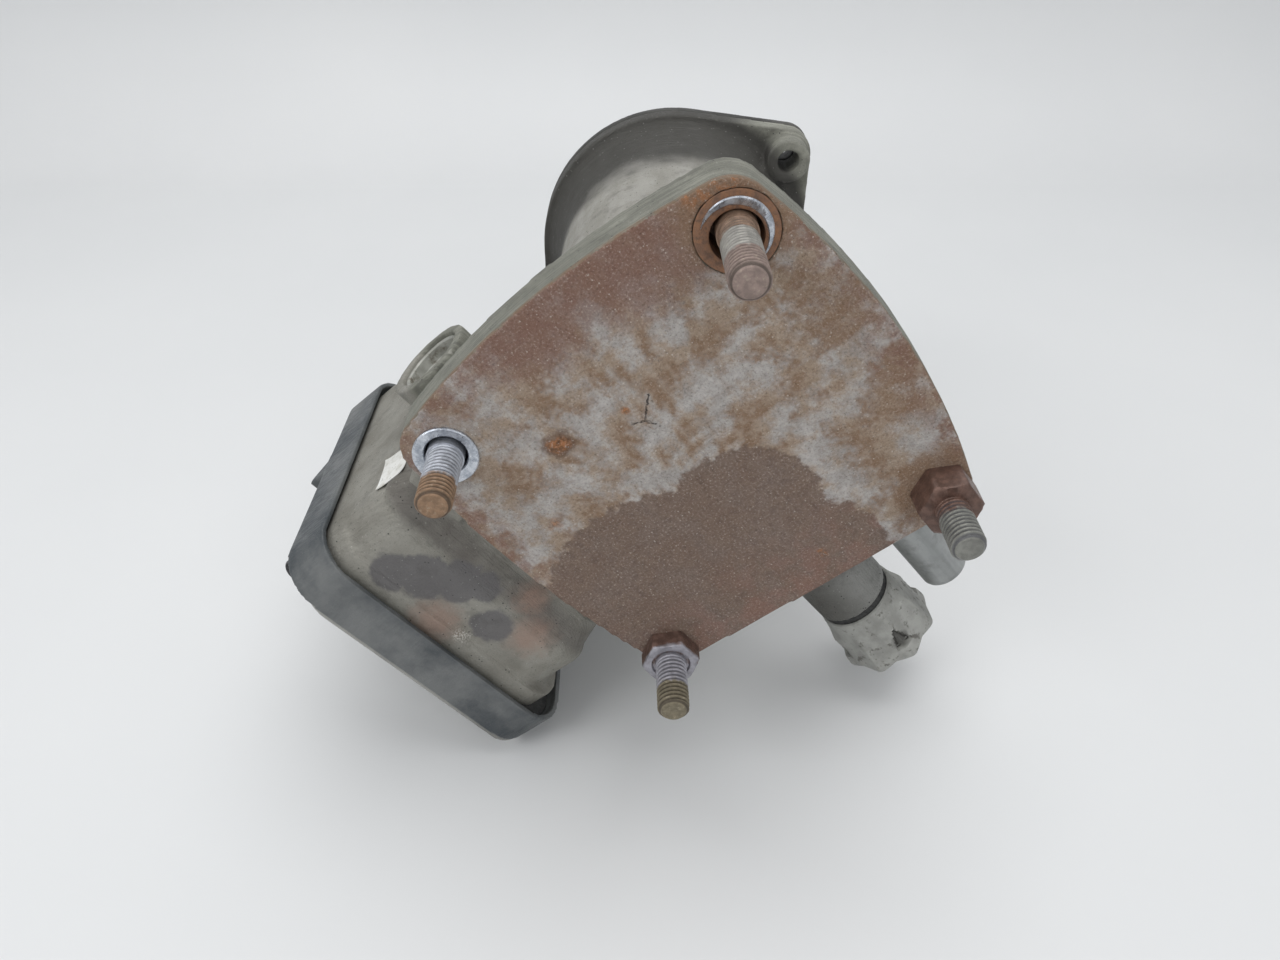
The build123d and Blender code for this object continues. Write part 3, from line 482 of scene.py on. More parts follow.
box_colour = r.mix(blotches(r, place, 12.0, 0.48, 0.12), BOX_BEIGE, BOX_PALE)
broken = r.blend(blotches(r, place, 7.0, 0.5, 0.2), 0.6, 1.0)
groove = r.all_of(r.ramp(x, -68.0, -65.0), r.ramp(x, -57.0, -61.0), broken)
box_colour = r.mix(share_of(r, groove, 0.75), box_colour, STEP_SHADE)
pink = r.any_of(spot(r, place, (-85, 9, 3), 6.5, 1.5, 4), spot(r, place, (-70, 9, -18), 5.5, 1.5, 4),
                spot(r, place, (-62, 11, -10), 4.5, 1.5, 3))
box_colour = r.mix(share_of(r, pink, 0.7), box_colour, PINK_STAIN)
worn = r.any_of(*[spot(r, place, (wx, 8, wz), size, 0.9, 0.9) for wx, wz, size in
                  ((-80, 21, 6.0), (-75.5, 15, 7.5), (-70.5, 8, 6.5), (-67, 2, 4.5), (-74.5, -8.3, 5.8))])
box_colour = r.mix(share_of(r, worn, 0.85), box_colour, WORN_DARK)
flaked = r.all_of(spot(r, place, (-82.6, 6, -5), 2.2, 1.5, 1.4), blotches(r, place, 0.45, 0.52, 0.08), 0.8)
box_colour = r.mix(flaked, box_colour, FLAKED_PALE)
colour = r.mix(on_box, colour, box_colour)
on_neck = r.ramp(z, -50.0, -53.0)
neck_colour = r.mix(r.ramp(x, -12.0, 6.0), NECK_DARK, NECK_PALE)
colour = r.mix(on_neck, colour, neck_colour)
dirt = blotches(r, place, 6.0, 0.6, 0.08)
colour = r.mix(share_of(r, dirt, 0.25), colour, GRIME_AND_SHADE)
mark = spot(r, place, (-22, 57, 30), 3.6, 2.2, 1.6)
colour = r.mix(r.all_of(mark, blotches(r, place, 1.6, 0.47)), colour, GRIME_AND_SHADE)
rust_edge = r.all_of(r.ramp(y, 1.6, 0.6), r.ramp(x, -56.0, -50.0), blotches(r, place, 5.0, 0.44, 0.12))
colour = r.mix(share_of(r, rust_edge, 0.8), colour, BROWN_RUST)
worn_edge = r.use(wear_group, Place=place, Start=0.53, Full=0.62)["Mask"]
colour = r.mix(share_of(r, worn_edge, 0.5), colour, EDGE_BARE)
speckle = r.noise(place, 0.5, 3.0, 0.8)
colour = r.mix(r.ramp(speckle, 0.48, 0.25), colour, r.mix(0.4, colour, SPECK_DARK))
colour = r.mix(grain["Pit"], colour, PIT_BLACK)
colour = r.mix(share_of(r, grain["Fleck"], 0.3), colour, FLECK_SILVER)
r.feed(shader.inputs["Base Color"], colour)
metal = r.all_of(r.math("SUBTRACT", 1.0, shade_and_soot_under_rim), r.blend(cloud, 0.25, 0.45))
paint(r, shader, Metallic=metal, Roughness=r.blend(worn, r.blend(cloud, 0.62, 0.74), 0.5))
height = r.math("ADD", grain["Height"], r.math("MULTIPLY", lines, -0.5))
normal = r.bump(r.math("ADD", height, r.math("MULTIPLY", r.noise(place, 3.0, 4.0), 0.7)), 0.22)
r.feed(shader.inputs["Normal"], normal)
print("finish:", cast_skin.name)

# %% [markdown]
# ## Softened castings
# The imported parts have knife-sharp edges, and no casting or moulding has those. Each large shell is
# copied, turned square so that its flats line up with the voxels, remeshed, smoothed until its edges
# are about a millimetre round, and then made slightly uneven. The copy stands for its CAD node.


# %% Soft copy
def keep_mesh(piece):
    """Applies every modifier of a piece."""
    bpy.context.view_layer.update()
    graph = bpy.context.evaluated_depsgraph_get()
    made = bpy.data.meshes.new_from_object(piece.evaluated_get(graph))
    piece.modifiers.clear()
    piece.data = made
    return made


def show(name, mesh):
    piece = bpy.data.objects.new(name, mesh)
    bpy.context.scene.collection.objects.link(piece)
    return piece


def soft_copy(node, name, voxel, passes, uneven=0.0, marks=()):
    """A remeshed copy of a CAD node; marks are (centre, radius, depth) dents in millimetres."""
    mesh = frame["nodes"][node].data.copy()
    mesh.transform(SQUARE)
    mesh.materials.clear()
    piece = show(name, mesh)
    remesh = piece.modifiers.new("voxels", "REMESH")
    remesh.mode, remesh.voxel_size = "VOXEL", voxel * MM
    smooth = piece.modifiers.new("soft_edges", "SMOOTH")
    smooth.factor, smooth.iterations = 0.5, passes
    mesh = keep_mesh(piece)
    mesh.name = name
    points = np.empty(len(mesh.vertices) * 3, np.float32)
    mesh.vertices.foreach_get("co", points)
    points = points.reshape(-1, 3)
    normals = np.empty(len(mesh.vertices) * 3, np.float32)
    mesh.vertices.foreach_get("normal", normals)
    push = np.zeros(len(points), np.float32)
    if uneven:
        wave = [noise.noise(Vector(p) / (7 * MM)) + 0.5 * noise.noise(Vector(p) / (2.5 * MM)) for p in points]
        push += np.array(wave, np.float32) * uneven * MM
    for centre, radius, depth in marks:
        away = np.linalg.norm(points / MM - np.array(centre), axis=1) / radius
        push -= depth * MM * np.clip(1 - away**2, 0, 1) ** 0.5
    points += normals.reshape(-1, 3) * push[:, None]
    mesh.vertices.foreach_set("co", points.ravel())
    mesh.transform(LIE)
    mesh.update()
    mesh.shade_smooth()
    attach(piece, "housing")
    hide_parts(node)
    print(name, "has", len(mesh.polygons), "faces")
    return piece


# %% [markdown]
# The housing gets two finishes. Faces of the flange's front that look along the studs take the rust;
# the rest takes the cast skin.

# %% Housing
FACE_DEPTH = 0.8
FLANGE_REACH = 52.0
housing = soft_copy("housing", "housing_casting", 0.6, 4, 0.05,
                    [((-22, 57, 30), 4.5, 0.5), ((-19, 0, 26), 2.6, -0.5)])
housing.data.materials.append(cast_skin)
housing.data.materials.append(rusted_face)
centres = np.empty(len(housing.data.polygons) * 3, np.float32)
housing.data.polygons.foreach_get("center", centres)
facing = np.empty(len(centres), np.float32)
housing.data.polygons.foreach_get("normal", facing)
centres = centres.reshape(-1, 3) / MM
front = (centres[:, 1] < FACE_DEPTH) & (facing.reshape(-1, 3)[:, 1] < -0.6)
front &= np.hypot(centres[:, 0], centres[:, 2]) < FLANGE_REACH * math.sqrt(2)
housing.data.polygons.foreach_set("material_index", front.astype(np.int32))
print("rusted faces:", int(front.sum()))

# %% [markdown]
# ## Dark covers
# The rear cover is a dark, dirty casting, and the controller's cover is black plastic, scuffed to a
# blue grey where it has rubbed on things. Broad soft patches carry fine strokes, and the noise that
# makes the strokes is stretched, because a scuff runs one way.


# %% Dark cover finishes
def dark_finish(name, base, light, scuff_level, roughness, stroke, depth):
    """A dark skin with scuffs; stroke is the size of one scuff on each axis."""
    material, r, shader, place = new_finish(name, Metallic=0.0)
    grain = r.use(grain_group, Place=place, Size=0.4)
    scuff = r.noise(r.stretched(place, stroke), 1.0, 6.0, 0.65)
    scuff = r.ramp(scuff, scuff_level, scuff_level + 0.22)
    area = blotches(r, place, 26.0, 0.5, 0.16)
    edge = r.use(wear_group, Place=place, Start=0.52, Full=0.6)["Mask"]
    colour = r.mix(share_of(r, area, 0.65), base, light)
    colour = r.mix(r.all_of(scuff, area, 0.3), colour, light)
    colour = r.mix(share_of(r, edge, 0.5), colour, light)
    colour = r.mix(share_of(r, grain["Fleck"], 0.4), colour, light)
    paint(r, shader,
          Base_Color=colour, Roughness=r.blend(scuff, roughness, roughness + 0.2),
          Normal=r.bump(r.math("ADD", grain["Height"], scuff), depth))
    return material


cover_black = dark_finish("scuffed_black_plastic", (0.042, 0.05, 0.056), (0.2, 0.205, 0.2), 0.42, 0.42,
                          (4.0, 0.9, 0.9), 0.05)
cover_cast = dark_finish("dark_cast_cover", (0.028, 0.027, 0.024), (0.085, 0.083, 0.075), 0.5, 0.6,
                         (9.0, 2.0, 9.0), 0.2)
plate_metal = dark_finish("dull_plate", (0.2, 0.198, 0.185), (0.38, 0.375, 0.35), 0.45, 0.5,
                          (3.0, 14.0, 3.0), 0.06)
print("finishes:", cover_black.name, cover_cast.name, plate_metal.name)

# %% Rear cover, controller cover and outer plate
rear_cover = soft_copy("rear_cover", "rear_cover_casting", 0.7, 3, 0.05)
rear_cover.data.materials.append(cover_cast)
controller_cover = soft_copy("controller_cover", "controller_cover_tray", 0.5, 3, 0.02)
controller_cover.data.materials.append(cover_black)
outer_plate = soft_copy("outer_plate", "outer_cover_plate", 0.5, 2, 0.02)
outer_plate.data.materials.append(plate_metal)

# %% [markdown]
# ## Turned and threaded pieces
# Studs, sleeves, the tube and the cup are round. Their skins are rows of points about an axis: a row
# may be a circle, a hexagon or one step of a thread, so a single builder makes them all. A solid piece
# is capped at both ends, and a hollow one joins its last row to its first.


# %% Skin builder
def skin(name, rows, loop=False, sharp=35):
    """A closed mesh from rows of points in the drawing's millimetres."""
    rows = np.asarray(rows, float)
    count, around = rows.shape[:2]
    faces = []
    for i in range(count if loop else count - 1):
        j = (i + 1) % count
        for k in range(around):
            m = (k + 1) % around
            faces.append((i * around + k, i * around + m, j * around + m, j * around + k))
    if not loop:
        faces.append(tuple(range(around - 1, -1, -1)))
        faces.append(tuple(range((count - 1) * around, count * around)))
    mesh = bpy.data.meshes.new(name)
    mesh.from_pydata((rows.reshape(-1, 3) * MM).tolist(), [], faces)
    work = bmesh.new()
    work.from_mesh(mesh)
    bmesh.ops.recalc_face_normals(work, faces=work.faces)
    work.to_mesh(mesh)
    work.free()
    mesh.transform(LIE)
    mesh.shade_smooth()
    mesh.set_sharp_from_angle(angle=math.radians(sharp))
    piece = show(name, mesh)
    print(name, "has", len(mesh.polygons), "faces")
    return piece


AROUND = 144
TURN = np.arange(AROUND) * 2 * math.pi / AROUND


def rows_about_y(spot_xz, profile):
    """Rows from (y, radius) pairs, where a radius is a number or one for each angle."""
    rows = []
    for height, radius in profile:
        radius = np.broadcast_to(radius, TURN.shape)
        x, z = spot_xz[0] + radius * np.cos(TURN), spot_xz[1] + radius * np.sin(TURN)
        rows.append(np.c_[x, np.full(AROUND, height), z])
    return rows


def rows_about_z(spot_xy, profile):
    """Rows from (z, radius) pairs."""
    rows = []
    for height, radius in profile:
        radius, height = np.broadcast_to(radius, TURN.shape), np.broadcast_to(height, TURN.shape)
        x, y = spot_xy[0] + radius * np.cos(TURN), spot_xy[1] + radius * np.sin(TURN)
        rows.append(np.c_[x, y, height])
    return rows


# %% [markdown]
# An M8 thread is cut 1.25 mm a turn. The radius dips once in each turn of the helix, so a row's radii
# follow the angle and the height together. The crests are slightly flat, and the thread runs out
# smoothly into the shank and into the chamfered tip.

# %% Thread and hexagon
PITCH = 1.25
ROWS_A_TURN = 12
THREAD_DEPTH = 0.72
CHAMFER = 1.1
STUD_R = mounts["flange_studs"]["dims"]["stud_r_mm"]
HEX_FLAT = 6.5


def thread_profile(start, tip):
    """(y, radii) pairs from the shank at start to the tip."""
    pairs = []
    for y in np.arange(start, tip, -PITCH / ROWS_A_TURN):
        phase = (TURN / (2 * math.pi) + y / PITCH) % 1.0
        valley = np.clip(1.5 * (1 - np.abs(2 * phase - 1)) - 0.35, 0, 1)
        run_out = np.clip((start - y) / 1.5, 0, 1)
        radius = STUD_R - THREAD_DEPTH * valley * run_out
        limit = STUD_R - 0.05 - max(0.0, CHAMFER - (y - tip))
        pairs.append((y, np.minimum(radius, limit)))
    pairs.append((tip, STUD_R - CHAMFER - 0.1))
    pairs.append((tip + 0.12, STUD_R - CHAMFER - 0.9))
    return pairs


def hexagon(flat, most=99.0):
    """Radii of a hexagon, cut off at most."""
    part = (TURN + math.pi / 6) % (math.pi / 3) - math.pi / 6
    return np.minimum(flat / np.cos(part), most)


def hex_profile(y_back, y_front):
    """A hexagon with its corners chamfered at the front."""
    corner = HEX_FLAT / math.cos(math.pi / 6)
    return [
        (y_back, hexagon(HEX_FLAT, corner - 0.3)),
        (y_back - 0.3, hexagon(HEX_FLAT)),
        (y_front + 0.75, hexagon(HEX_FLAT, corner - 0.05)),
        (y_front + 0.3, hexagon(HEX_FLAT, HEX_FLAT + 0.45)),
        (y_front, hexagon(HEX_FLAT, HEX_FLAT - 0.1)),
    ]


# %% [markdown]
# The zinc on the studs has gone in different ways: three tips are crusted in brown, yellow or purple,
# the left bolt is bright behind its tip, and the right-hand stud is dull grey over a rusty hexagon. One
# function paints them all, from the colours of the tip, the thread and the collar, and darkens the
# grooves of the thread with painted shade.


# %% Stud finish
GROOVE_SHADE_GREY, GROOVE_SHADE_BROWN = (0.09, 0.09, 0.1), (0.035, 0.024, 0.016)


def stud_finish(name, spot_xz, thread, tip, tip_at, collar, collar_at, shine):
    """tip_at and collar_at are the y where the tip's crust and the collar's colour begin."""
    material, r, shader, place = new_finish(name)
    x, y, z = axes(r, place)
    ragged = r.math("MULTIPLY", r.math("SUBTRACT", r.noise(place, 1.8, 4.0), 0.5), 3.0)
    level = r.math("ADD", y, ragged)
    on_tip = r.ramp(level, tip_at + 0.5, tip_at - 0.5)
    on_collar = r.ramp(level, collar_at - 0.6, collar_at + 0.6)
    crust = blotches(r, place, 1.6, 0.5, 0.15)
    colour = r.mix(blotches(r, place, 2.5, 0.5, 0.2), thread, tuple(0.62 * c for c in thread))
    collar_colour = r.mix(blotches(r, place, 2.0, 0.48, 0.15), collar, tuple(0.6 * c for c in collar))
    colour = r.mix(on_collar, colour, collar_colour)
    tip_colour = r.mix(crust, tip, tuple(1.45 * c for c in tip))
    tip_colour = r.mix(r.all_of(crust, blotches(r, place, 0.9, 0.6), 0.5), tip_colour, (0.42, 0.37, 0.28))
    colour = r.mix(on_tip, colour, tip_colour)
    radius = r.away_from_axis(x, z, spot_xz)
    below_crest, above_chamfer = r.ramp(radius, STUD_R - 0.1, STUD_R - 0.55), r.ramp(radius, 3.1, 3.25)
    # Painted shade in the grooves of the thread: grey on the clean thread, brown under the crust.
    groove = r.all_of(below_crest, above_chamfer, r.ramp(y, -0.5, -1.5))
    colour = r.mix(share_of(r, groove, 0.72), colour, r.mix(on_tip, GROOVE_SHADE_GREY, GROOVE_SHADE_BROWN))
    r.feed(shader.inputs["Base Color"], colour)
    clean = r.math("SUBTRACT", 1.0, on_tip)
    paint(r, shader,
          Metallic=r.math("MULTIPLY", clean, shine),
          Roughness=r.blend(clean, 0.75, r.blend(crust, 0.32, 0.48)),
          Normal=r.bump(r.noise(place, 0.4, 4.0, 0.7), 0.12))
    return material


ZINC, DULL_GREY = (0.56, 0.585, 0.64), (0.25, 0.25, 0.225)
TIP_BROWN, TIP_YELLOW, TIP_PURPLE = (0.2, 0.125, 0.075), (0.14, 0.12, 0.08), (0.2, 0.15, 0.13)
RUSTY_COLLAR = (0.17, 0.098, 0.075)
stud_specs = {
    "stud_right": (RIGHT, 8.0, 21.7, stud_finish(
        "right_stud_steel", RIGHT, DULL_GREY, DULL_GREY, -30, RUSTY_COLLAR, -12.0, 0.35)),
    "stud_bottom": (BOTTOM, 5.2, 20.7, stud_finish(
        "bottom_stud_steel", BOTTOM, (0.42, 0.41, 0.45), TIP_YELLOW, -13.5, (0.2, 0.125, 0.1), -4.4, 0.5)),
    "bolt_top": (TOP, None, 23.5, stud_finish(
        "top_bolt_steel", TOP, (0.4, 0.385, 0.35), TIP_PURPLE, -15.0, (0.3, 0.2, 0.14), -6.0, 0.45)),
    "bolt_left": (LEFT, None, 19.0, stud_finish(
        "left_bolt_steel", LEFT, ZINC, TIP_BROWN, -11.5, ZINC, 2.0, 0.7)),
}
print("stud finishes:", len(stud_specs))

# %% Studs and bolts
SEAT_R = 4.25
FLANGE_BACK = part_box("bolt_sleeves")[1].y / MM
THREAD_START = -1.5
HEAD = 5.3
for name, (spot_xz, collar, reach, finish) in stud_specs.items():
    if collar:
        profile = [(FLANGE_BACK - 0.6, SEAT_R), (0.0, SEAT_R)]
        relief = []
        if name == "stud_bottom":
            relief = [(-collar, 5.0), (-collar + 0.7, 4.7), (-collar + 0.7, 4.05)]
        profile += hex_profile(0.0, -collar) + relief + thread_profile(-collar - 0.05, -reach)
        node, slot = "collar_studs", "rusty_stud_steel"
    else:
        head = [(FLANGE_BACK + HEAD, hexagon(HEX_FLAT, HEX_FLAT - 0.1)),
                (FLANGE_BACK + HEAD - 0.3, hexagon(HEX_FLAT, HEX_FLAT + 0.45)),
                (FLANGE_BACK + HEAD - 0.75, hexagon(HEX_FLAT)), (FLANGE_BACK, hexagon(HEX_FLAT))]
        profile = head + [(FLANGE_BACK - 0.05, SEAT_R), (THREAD_START, SEAT_R)]
        profile += thread_profile(THREAD_START - 0.05, -reach)
        node, slot = "through_bolts", "zinc_bolt_steel"
    stud = skin(name, rows_about_y(spot_xz, profile), sharp=50)
    stud.data.materials.append(finish)
    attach(stud, "housing")
    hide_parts(node)

# %% [markdown]
# ## Sleeves in the flange
# The left bolt stands in a bright zinc sleeve. The upper one stands in a wide sleeve that has rusted
# level with the face, so that only a thin groove marks its edge, and the bolt sits off the middle of
# its bore, with a dark gap below. A crescent of bright metal still shows where the bracket's washer lay.


# %% Sleeves
def off_centre(radius, dx, dz):
    """Radii, about a spot, of a circle whose centre is dx, dz away from it."""
    along = dx * np.cos(TURN) + dz * np.sin(TURN)
    across = -dx * np.sin(TURN) + dz * np.cos(TURN)
    return along + np.sqrt(radius**2 - across**2)


sleeve_rust, r, shader, place = new_finish("sleeve_rust", Roughness=0.8)
rust = r.mix(blotches(r, place, 2.6, 0.5, 0.12), (0.2, 0.11, 0.07), (0.27, 0.135, 0.07))
rust = r.mix(share_of(r, blotches(r, place, 1.4, 0.55, 0.08), 0.6), rust, DEEP_STAIN)
paint(r, shader, Base_Color=rust, Normal=r.bump(r.noise(place, 0.6, 4.0, 0.7), 0.3))

zinc_bright, r, shader, place = new_finish("bright_zinc", Metallic=0.85)
tone = r.mix(blotches(r, place, 1.8, 0.52, 0.15), (0.62, 0.65, 0.7), (0.33, 0.36, 0.41))
paint(r, shader,
      Base_Color=tone, Roughness=r.blend(blotches(r, place, 1.2, 0.5), 0.25, 0.42),
      Normal=r.bump(r.noise(place, 0.7, 3.0), 0.08))

WIDE_R, FLUSH = 8.55, -0.03
NARROW_R, LIP_R, PROUD, LIP_BACK = 6.4, 7.4, -0.8, -0.04
bore = off_centre(5.5, -0.55, -0.75)
wide = [(0.5, WIDE_R), (0.1, WIDE_R), (FLUSH, WIDE_R - 0.15), (FLUSH, bore + 0.5), (0.25, bore),
        (FLANGE_BACK, bore), (FLANGE_BACK, WIDE_R)]
wide_sleeve = skin("sleeve_top", rows_about_y(TOP, wide), loop=True)
wide_sleeve.data.materials.append(sleeve_rust)
bore = off_centre(4.85, 0.45, 0.25)
narrow = [(PROUD + 0.25, LIP_R), (PROUD, LIP_R - 0.25), (PROUD, bore + 0.25), (PROUD + 0.25, bore),
          (FLANGE_BACK, bore), (FLANGE_BACK, NARROW_R), (LIP_BACK, NARROW_R), (LIP_BACK, LIP_R)]
narrow_sleeve = skin("sleeve_left", rows_about_y(LEFT, narrow), loop=True)
narrow_sleeve.data.materials.append(zinc_bright)

ARC_FROM, ARC_TO, ARC_R, ARC_WIDE = math.radians(-80), math.radians(135), 7.2, 1.9
arc_rows = []
for share in np.linspace(0.0, 1.0, 60):
    angle = ARC_FROM + (ARC_TO - ARC_FROM) * share
    width = 0.08 + ARC_WIDE * math.sin(math.pi * share) ** 0.8
    ring = []
    for radius, y in ((ARC_R, 0.3), (ARC_R, -0.2), (ARC_R - 0.15 * width, -0.42),
                      (ARC_R - 0.75 * width, -0.3), (ARC_R - width, 0.1), (ARC_R - width, 0.3)):
        ring.append((TOP[0] + radius * math.cos(angle), y, TOP[1] + radius * math.sin(angle)))
    arc_rows.append(ring)
crescent = skin("washer_trace", arc_rows)
crescent.data.materials.append(zinc_bright)
for piece in (wide_sleeve, narrow_sleeve, crescent):
    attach(piece, "housing")
    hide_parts("bolt_sleeves")

# %% [markdown]
# ## Outlet tube and inlet cup
# The tube is drawn steel, smooth and cut off square, with a thin rolled edge. The cup that closes the
# inlet is pressed sheet, so its edges are rounded by a few close rows.

# %% Tube and cup
tube_steel, r, shader, place = new_finish("satin_tube_steel", Metallic=0.55)
drawn = r.noise(r.stretched(place, (3.0, 3.0, 30.0)), 1.0, 3.0)
tone = r.mix(r.ramp(drawn, 0.3, 0.7), (0.27, 0.28, 0.275), (0.36, 0.37, 0.365))
tone = r.mix(share_of(r, blotches(r, place, 4.0, 0.6, 0.12), 0.4), tone, (0.13, 0.13, 0.12))
paint(r, shader,
      Base_Color=tone, Roughness=r.blend(blotches(r, place, 3.0, 0.5), 0.38, 0.55),
      Normal=r.bump(r.noise(place, 0.6, 4.0), 0.05))

TUBE_R, TUBE_BORE_R = mounts["outlet_tube"]["dims"]["r_mm"], 4.8
TUBE_END = TUBE.z - mounts["outlet_tube"]["dims"]["length_mm"] / 2
TUBE_TOP = TUBE.z + mounts["outlet_tube"]["dims"]["length_mm"] / 2
PRESSED_R, PRESSED_LONG = TUBE_R - 0.4, 15.0
profile = [(TUBE_TOP + PRESSED_LONG, PRESSED_R), (TUBE_TOP, PRESSED_R), (TUBE_TOP, TUBE_R)]
profile += [(TUBE_END + 0.5, TUBE_R), (TUBE_END + 0.12, TUBE_R - 0.15), (TUBE_END, TUBE_R - 0.5),
            (TUBE_END, TUBE_BORE_R + 0.4), (TUBE_END + 0.3, TUBE_BORE_R),
            (TUBE_TOP + PRESSED_LONG, TUBE_BORE_R)]
tube = skin("outlet_hose_tube", rows_about_z((TUBE.x, TUBE.y), profile), loop=True)
tube.data.materials.append(tube_steel)
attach(tube, "housing")
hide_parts("outlet_tube")

cup_steel, r, shader, place = new_finish("dull_cup_steel", Metallic=0.5)
tone = r.mix(blotches(r, place, 5.0, 0.5, 0.15), (0.3, 0.3, 0.27), (0.42, 0.42, 0.385))
paint(r, shader,
      Base_Color=r.mix(blotches(r, place, 3.0, 0.6, 0.08), tone, (0.16, 0.14, 0.11)),
      Roughness=r.blend(blotches(r, place, 3.0, 0.5), 0.5, 0.65),
      Normal=r.bump(r.noise(place, 0.8, 4.0), 0.1))
CUP_R, CUP_LONG, CUP_FLOOR = 9.15, 9, 4.5
cup = [(PORT.z - CUP_LONG, CUP_R - 1.8), (PORT.z - CUP_LONG, CUP_R), (PORT.z - 1.4, CUP_R),
       (PORT.z - 1.0, CUP_R - 0.35), (PORT.z - 1.0, CUP_R - 0.8), (PORT.z - 1.4, CUP_R - 1.15),
       (PORT.z - 4.0, CUP_R - 1.3), (PORT.z - CUP_FLOOR, CUP_R - 1.8), (PORT.z - CUP_FLOOR, 2.0),
       (PORT.z - 4.4, 0.05)]
cup_under = [(PORT.z - 6.0, 0.05), (PORT.z - 6.0, CUP_R - 1.8)]
inlet_cup = skin("inlet_cup", rows_about_z((PORT.x, PORT.y), cup + cup_under), loop=True)
inlet_cup.data.materials.append(cup_steel)
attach(inlet_cup, "housing")
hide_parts("port_cap")

# %% [markdown]
# ## The coupling ring
# The ring that locks the harness plug starts round at the neck and flares into eight flats. Every
# second edge is split by a three-cornered finger recess, and the far end runs out in low points. All
# of that is a radius that depends on the angle and on the way along, so the ring is one skin.

# %% Coupling ring
RING_TOP = SOCKET.z + 20.2
RING_LONG = RING_TOP - SOCKET.z
RING_BORE, RING_MOUTH = 11.1, 12.4
NECK_R, FLARE, CORNER_R = 11.75, 2.7, 15.35
RECESS_TURN, RECESS_OUT = math.radians(-68), 13.0
RECESS_FROM, RECESS_TO, RECESS_OPENS = 0.42, 0.77, 0.33
RECESS_HALF, RECESS_DEEP = math.radians(11.5), 2.2
POINT_LONG, EDGE_ROUND = 1.3, 0.45


def smooth_step(value, low, high):
    share = np.clip((value - low) / (high - low), 0, 1)
    return share * share * (3 - 2 * share)


def ring_radius(share):
    """Radii at a share of the way from the neck to the mouth."""
    wide = NECK_R + FLARE * share
    part = (TURN - RECESS_TURN + math.pi / 8) % (math.pi / 4) - math.pi / 8
    flats = wide / np.cos(math.pi / 8 - np.abs(part))
    faceted = smooth_step(share, 0.1, 0.4)
    radius = wide * (1 - faceted) + np.minimum(flats, CORNER_R) * faceted
    off = np.abs((TURN - RECESS_TURN + math.pi / 4) % (math.pi / 2) - math.pi / 4)
    half = RECESS_HALF * np.clip((share - RECESS_FROM) / RECESS_OPENS, 0, 1)
    depth = RECESS_DEEP * (1 - smooth_step(off, half * 0.75, half + 0.02))
    depth = depth * (share > RECESS_FROM) * (share < RECESS_TO)
    return radius - depth


profile = []
for share in np.r_[0.0, 0.015, np.linspace(0.05, 0.95, 64), 0.985, 1.0]:
    between_points = np.abs(np.cos(4 * (TURN - RECESS_TURN)))
    points = POINT_LONG * smooth_step(share, 0.75, 1.0) * (1 - between_points) ** 0.8
    rounding = EDGE_ROUND * (smooth_step(share, 0.97, 1.0) + (1 - smooth_step(share, 0.0, 0.02)))
    profile.append((RING_TOP - RING_LONG * share + points, ring_radius(share) - rounding))
profile += [(SOCKET.z + 1.6, RING_MOUTH + 0.2), (SOCKET.z + 5.0, RING_MOUTH),
            (SOCKET.z + 5.4, RING_BORE), (RING_TOP, RING_BORE)]
coupling_plastic, r, shader, place = new_finish("dusty_pale_plastic", Metallic=0.0)
grain = r.use(grain_group, Place=place, Size=0.45)
tone = r.mix(blotches(r, place, 6.0, 0.5, 0.18), (0.25, 0.25, 0.23), (0.37, 0.37, 0.345))
tone = r.mix(blotches(r, place, 2.2, 0.62, 0.06), tone, (0.13, 0.125, 0.11))
# Painted shade in the ring's hollows, where pointiness is low, in the same dark colour as the grime.
hollow = r.node("NewGeometry").outputs["Pointiness"]
tone = r.mix(r.ramp(hollow, 0.485, 0.455), tone, GRIME_AND_SHADE)
# Painted shade in the four finger recesses.
recess_shades = []
for quarter in range(4):
    angle = RECESS_TURN + quarter * math.pi / 2
    out_x, out_y = RECESS_OUT * math.cos(angle), RECESS_OUT * math.sin(angle)
    middle = (SOCKET.x + out_x, SOCKET.y + out_y, RING_TOP - 0.64 * RING_LONG)
    recess_shades.append(spot(r, place, middle, 2.7, 0.25, 0.7))
tone = r.mix(share_of(r, r.any_of(*recess_shades), 0.75), tone, (0.07, 0.067, 0.06))
worn = r.use(wear_group, Place=place, Start=0.53, Full=0.6)["Mask"]
tone = r.mix(share_of(r, worn, 0.5), tone, (0.5, 0.5, 0.47))
paint(r, shader,
      Base_Color=tone, Roughness=r.blend(grain["Height"], 0.5, 0.72), Normal=r.bump(grain["Height"], 0.1))
ring = skin("coupling_ring_shell", rows_about_z((SOCKET.x, SOCKET.y), profile), loop=True, sharp=30)
ring.data.materials.append(coupling_plastic)
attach(ring, "coupling_ring")
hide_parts("coupling_ring")

# %% [markdown]
# ## The blank label
# A white label is stuck on the end of the box. Its print is left out. It is a thin sheet whose corners
# have begun to lift, so its skin follows a shallow wave.

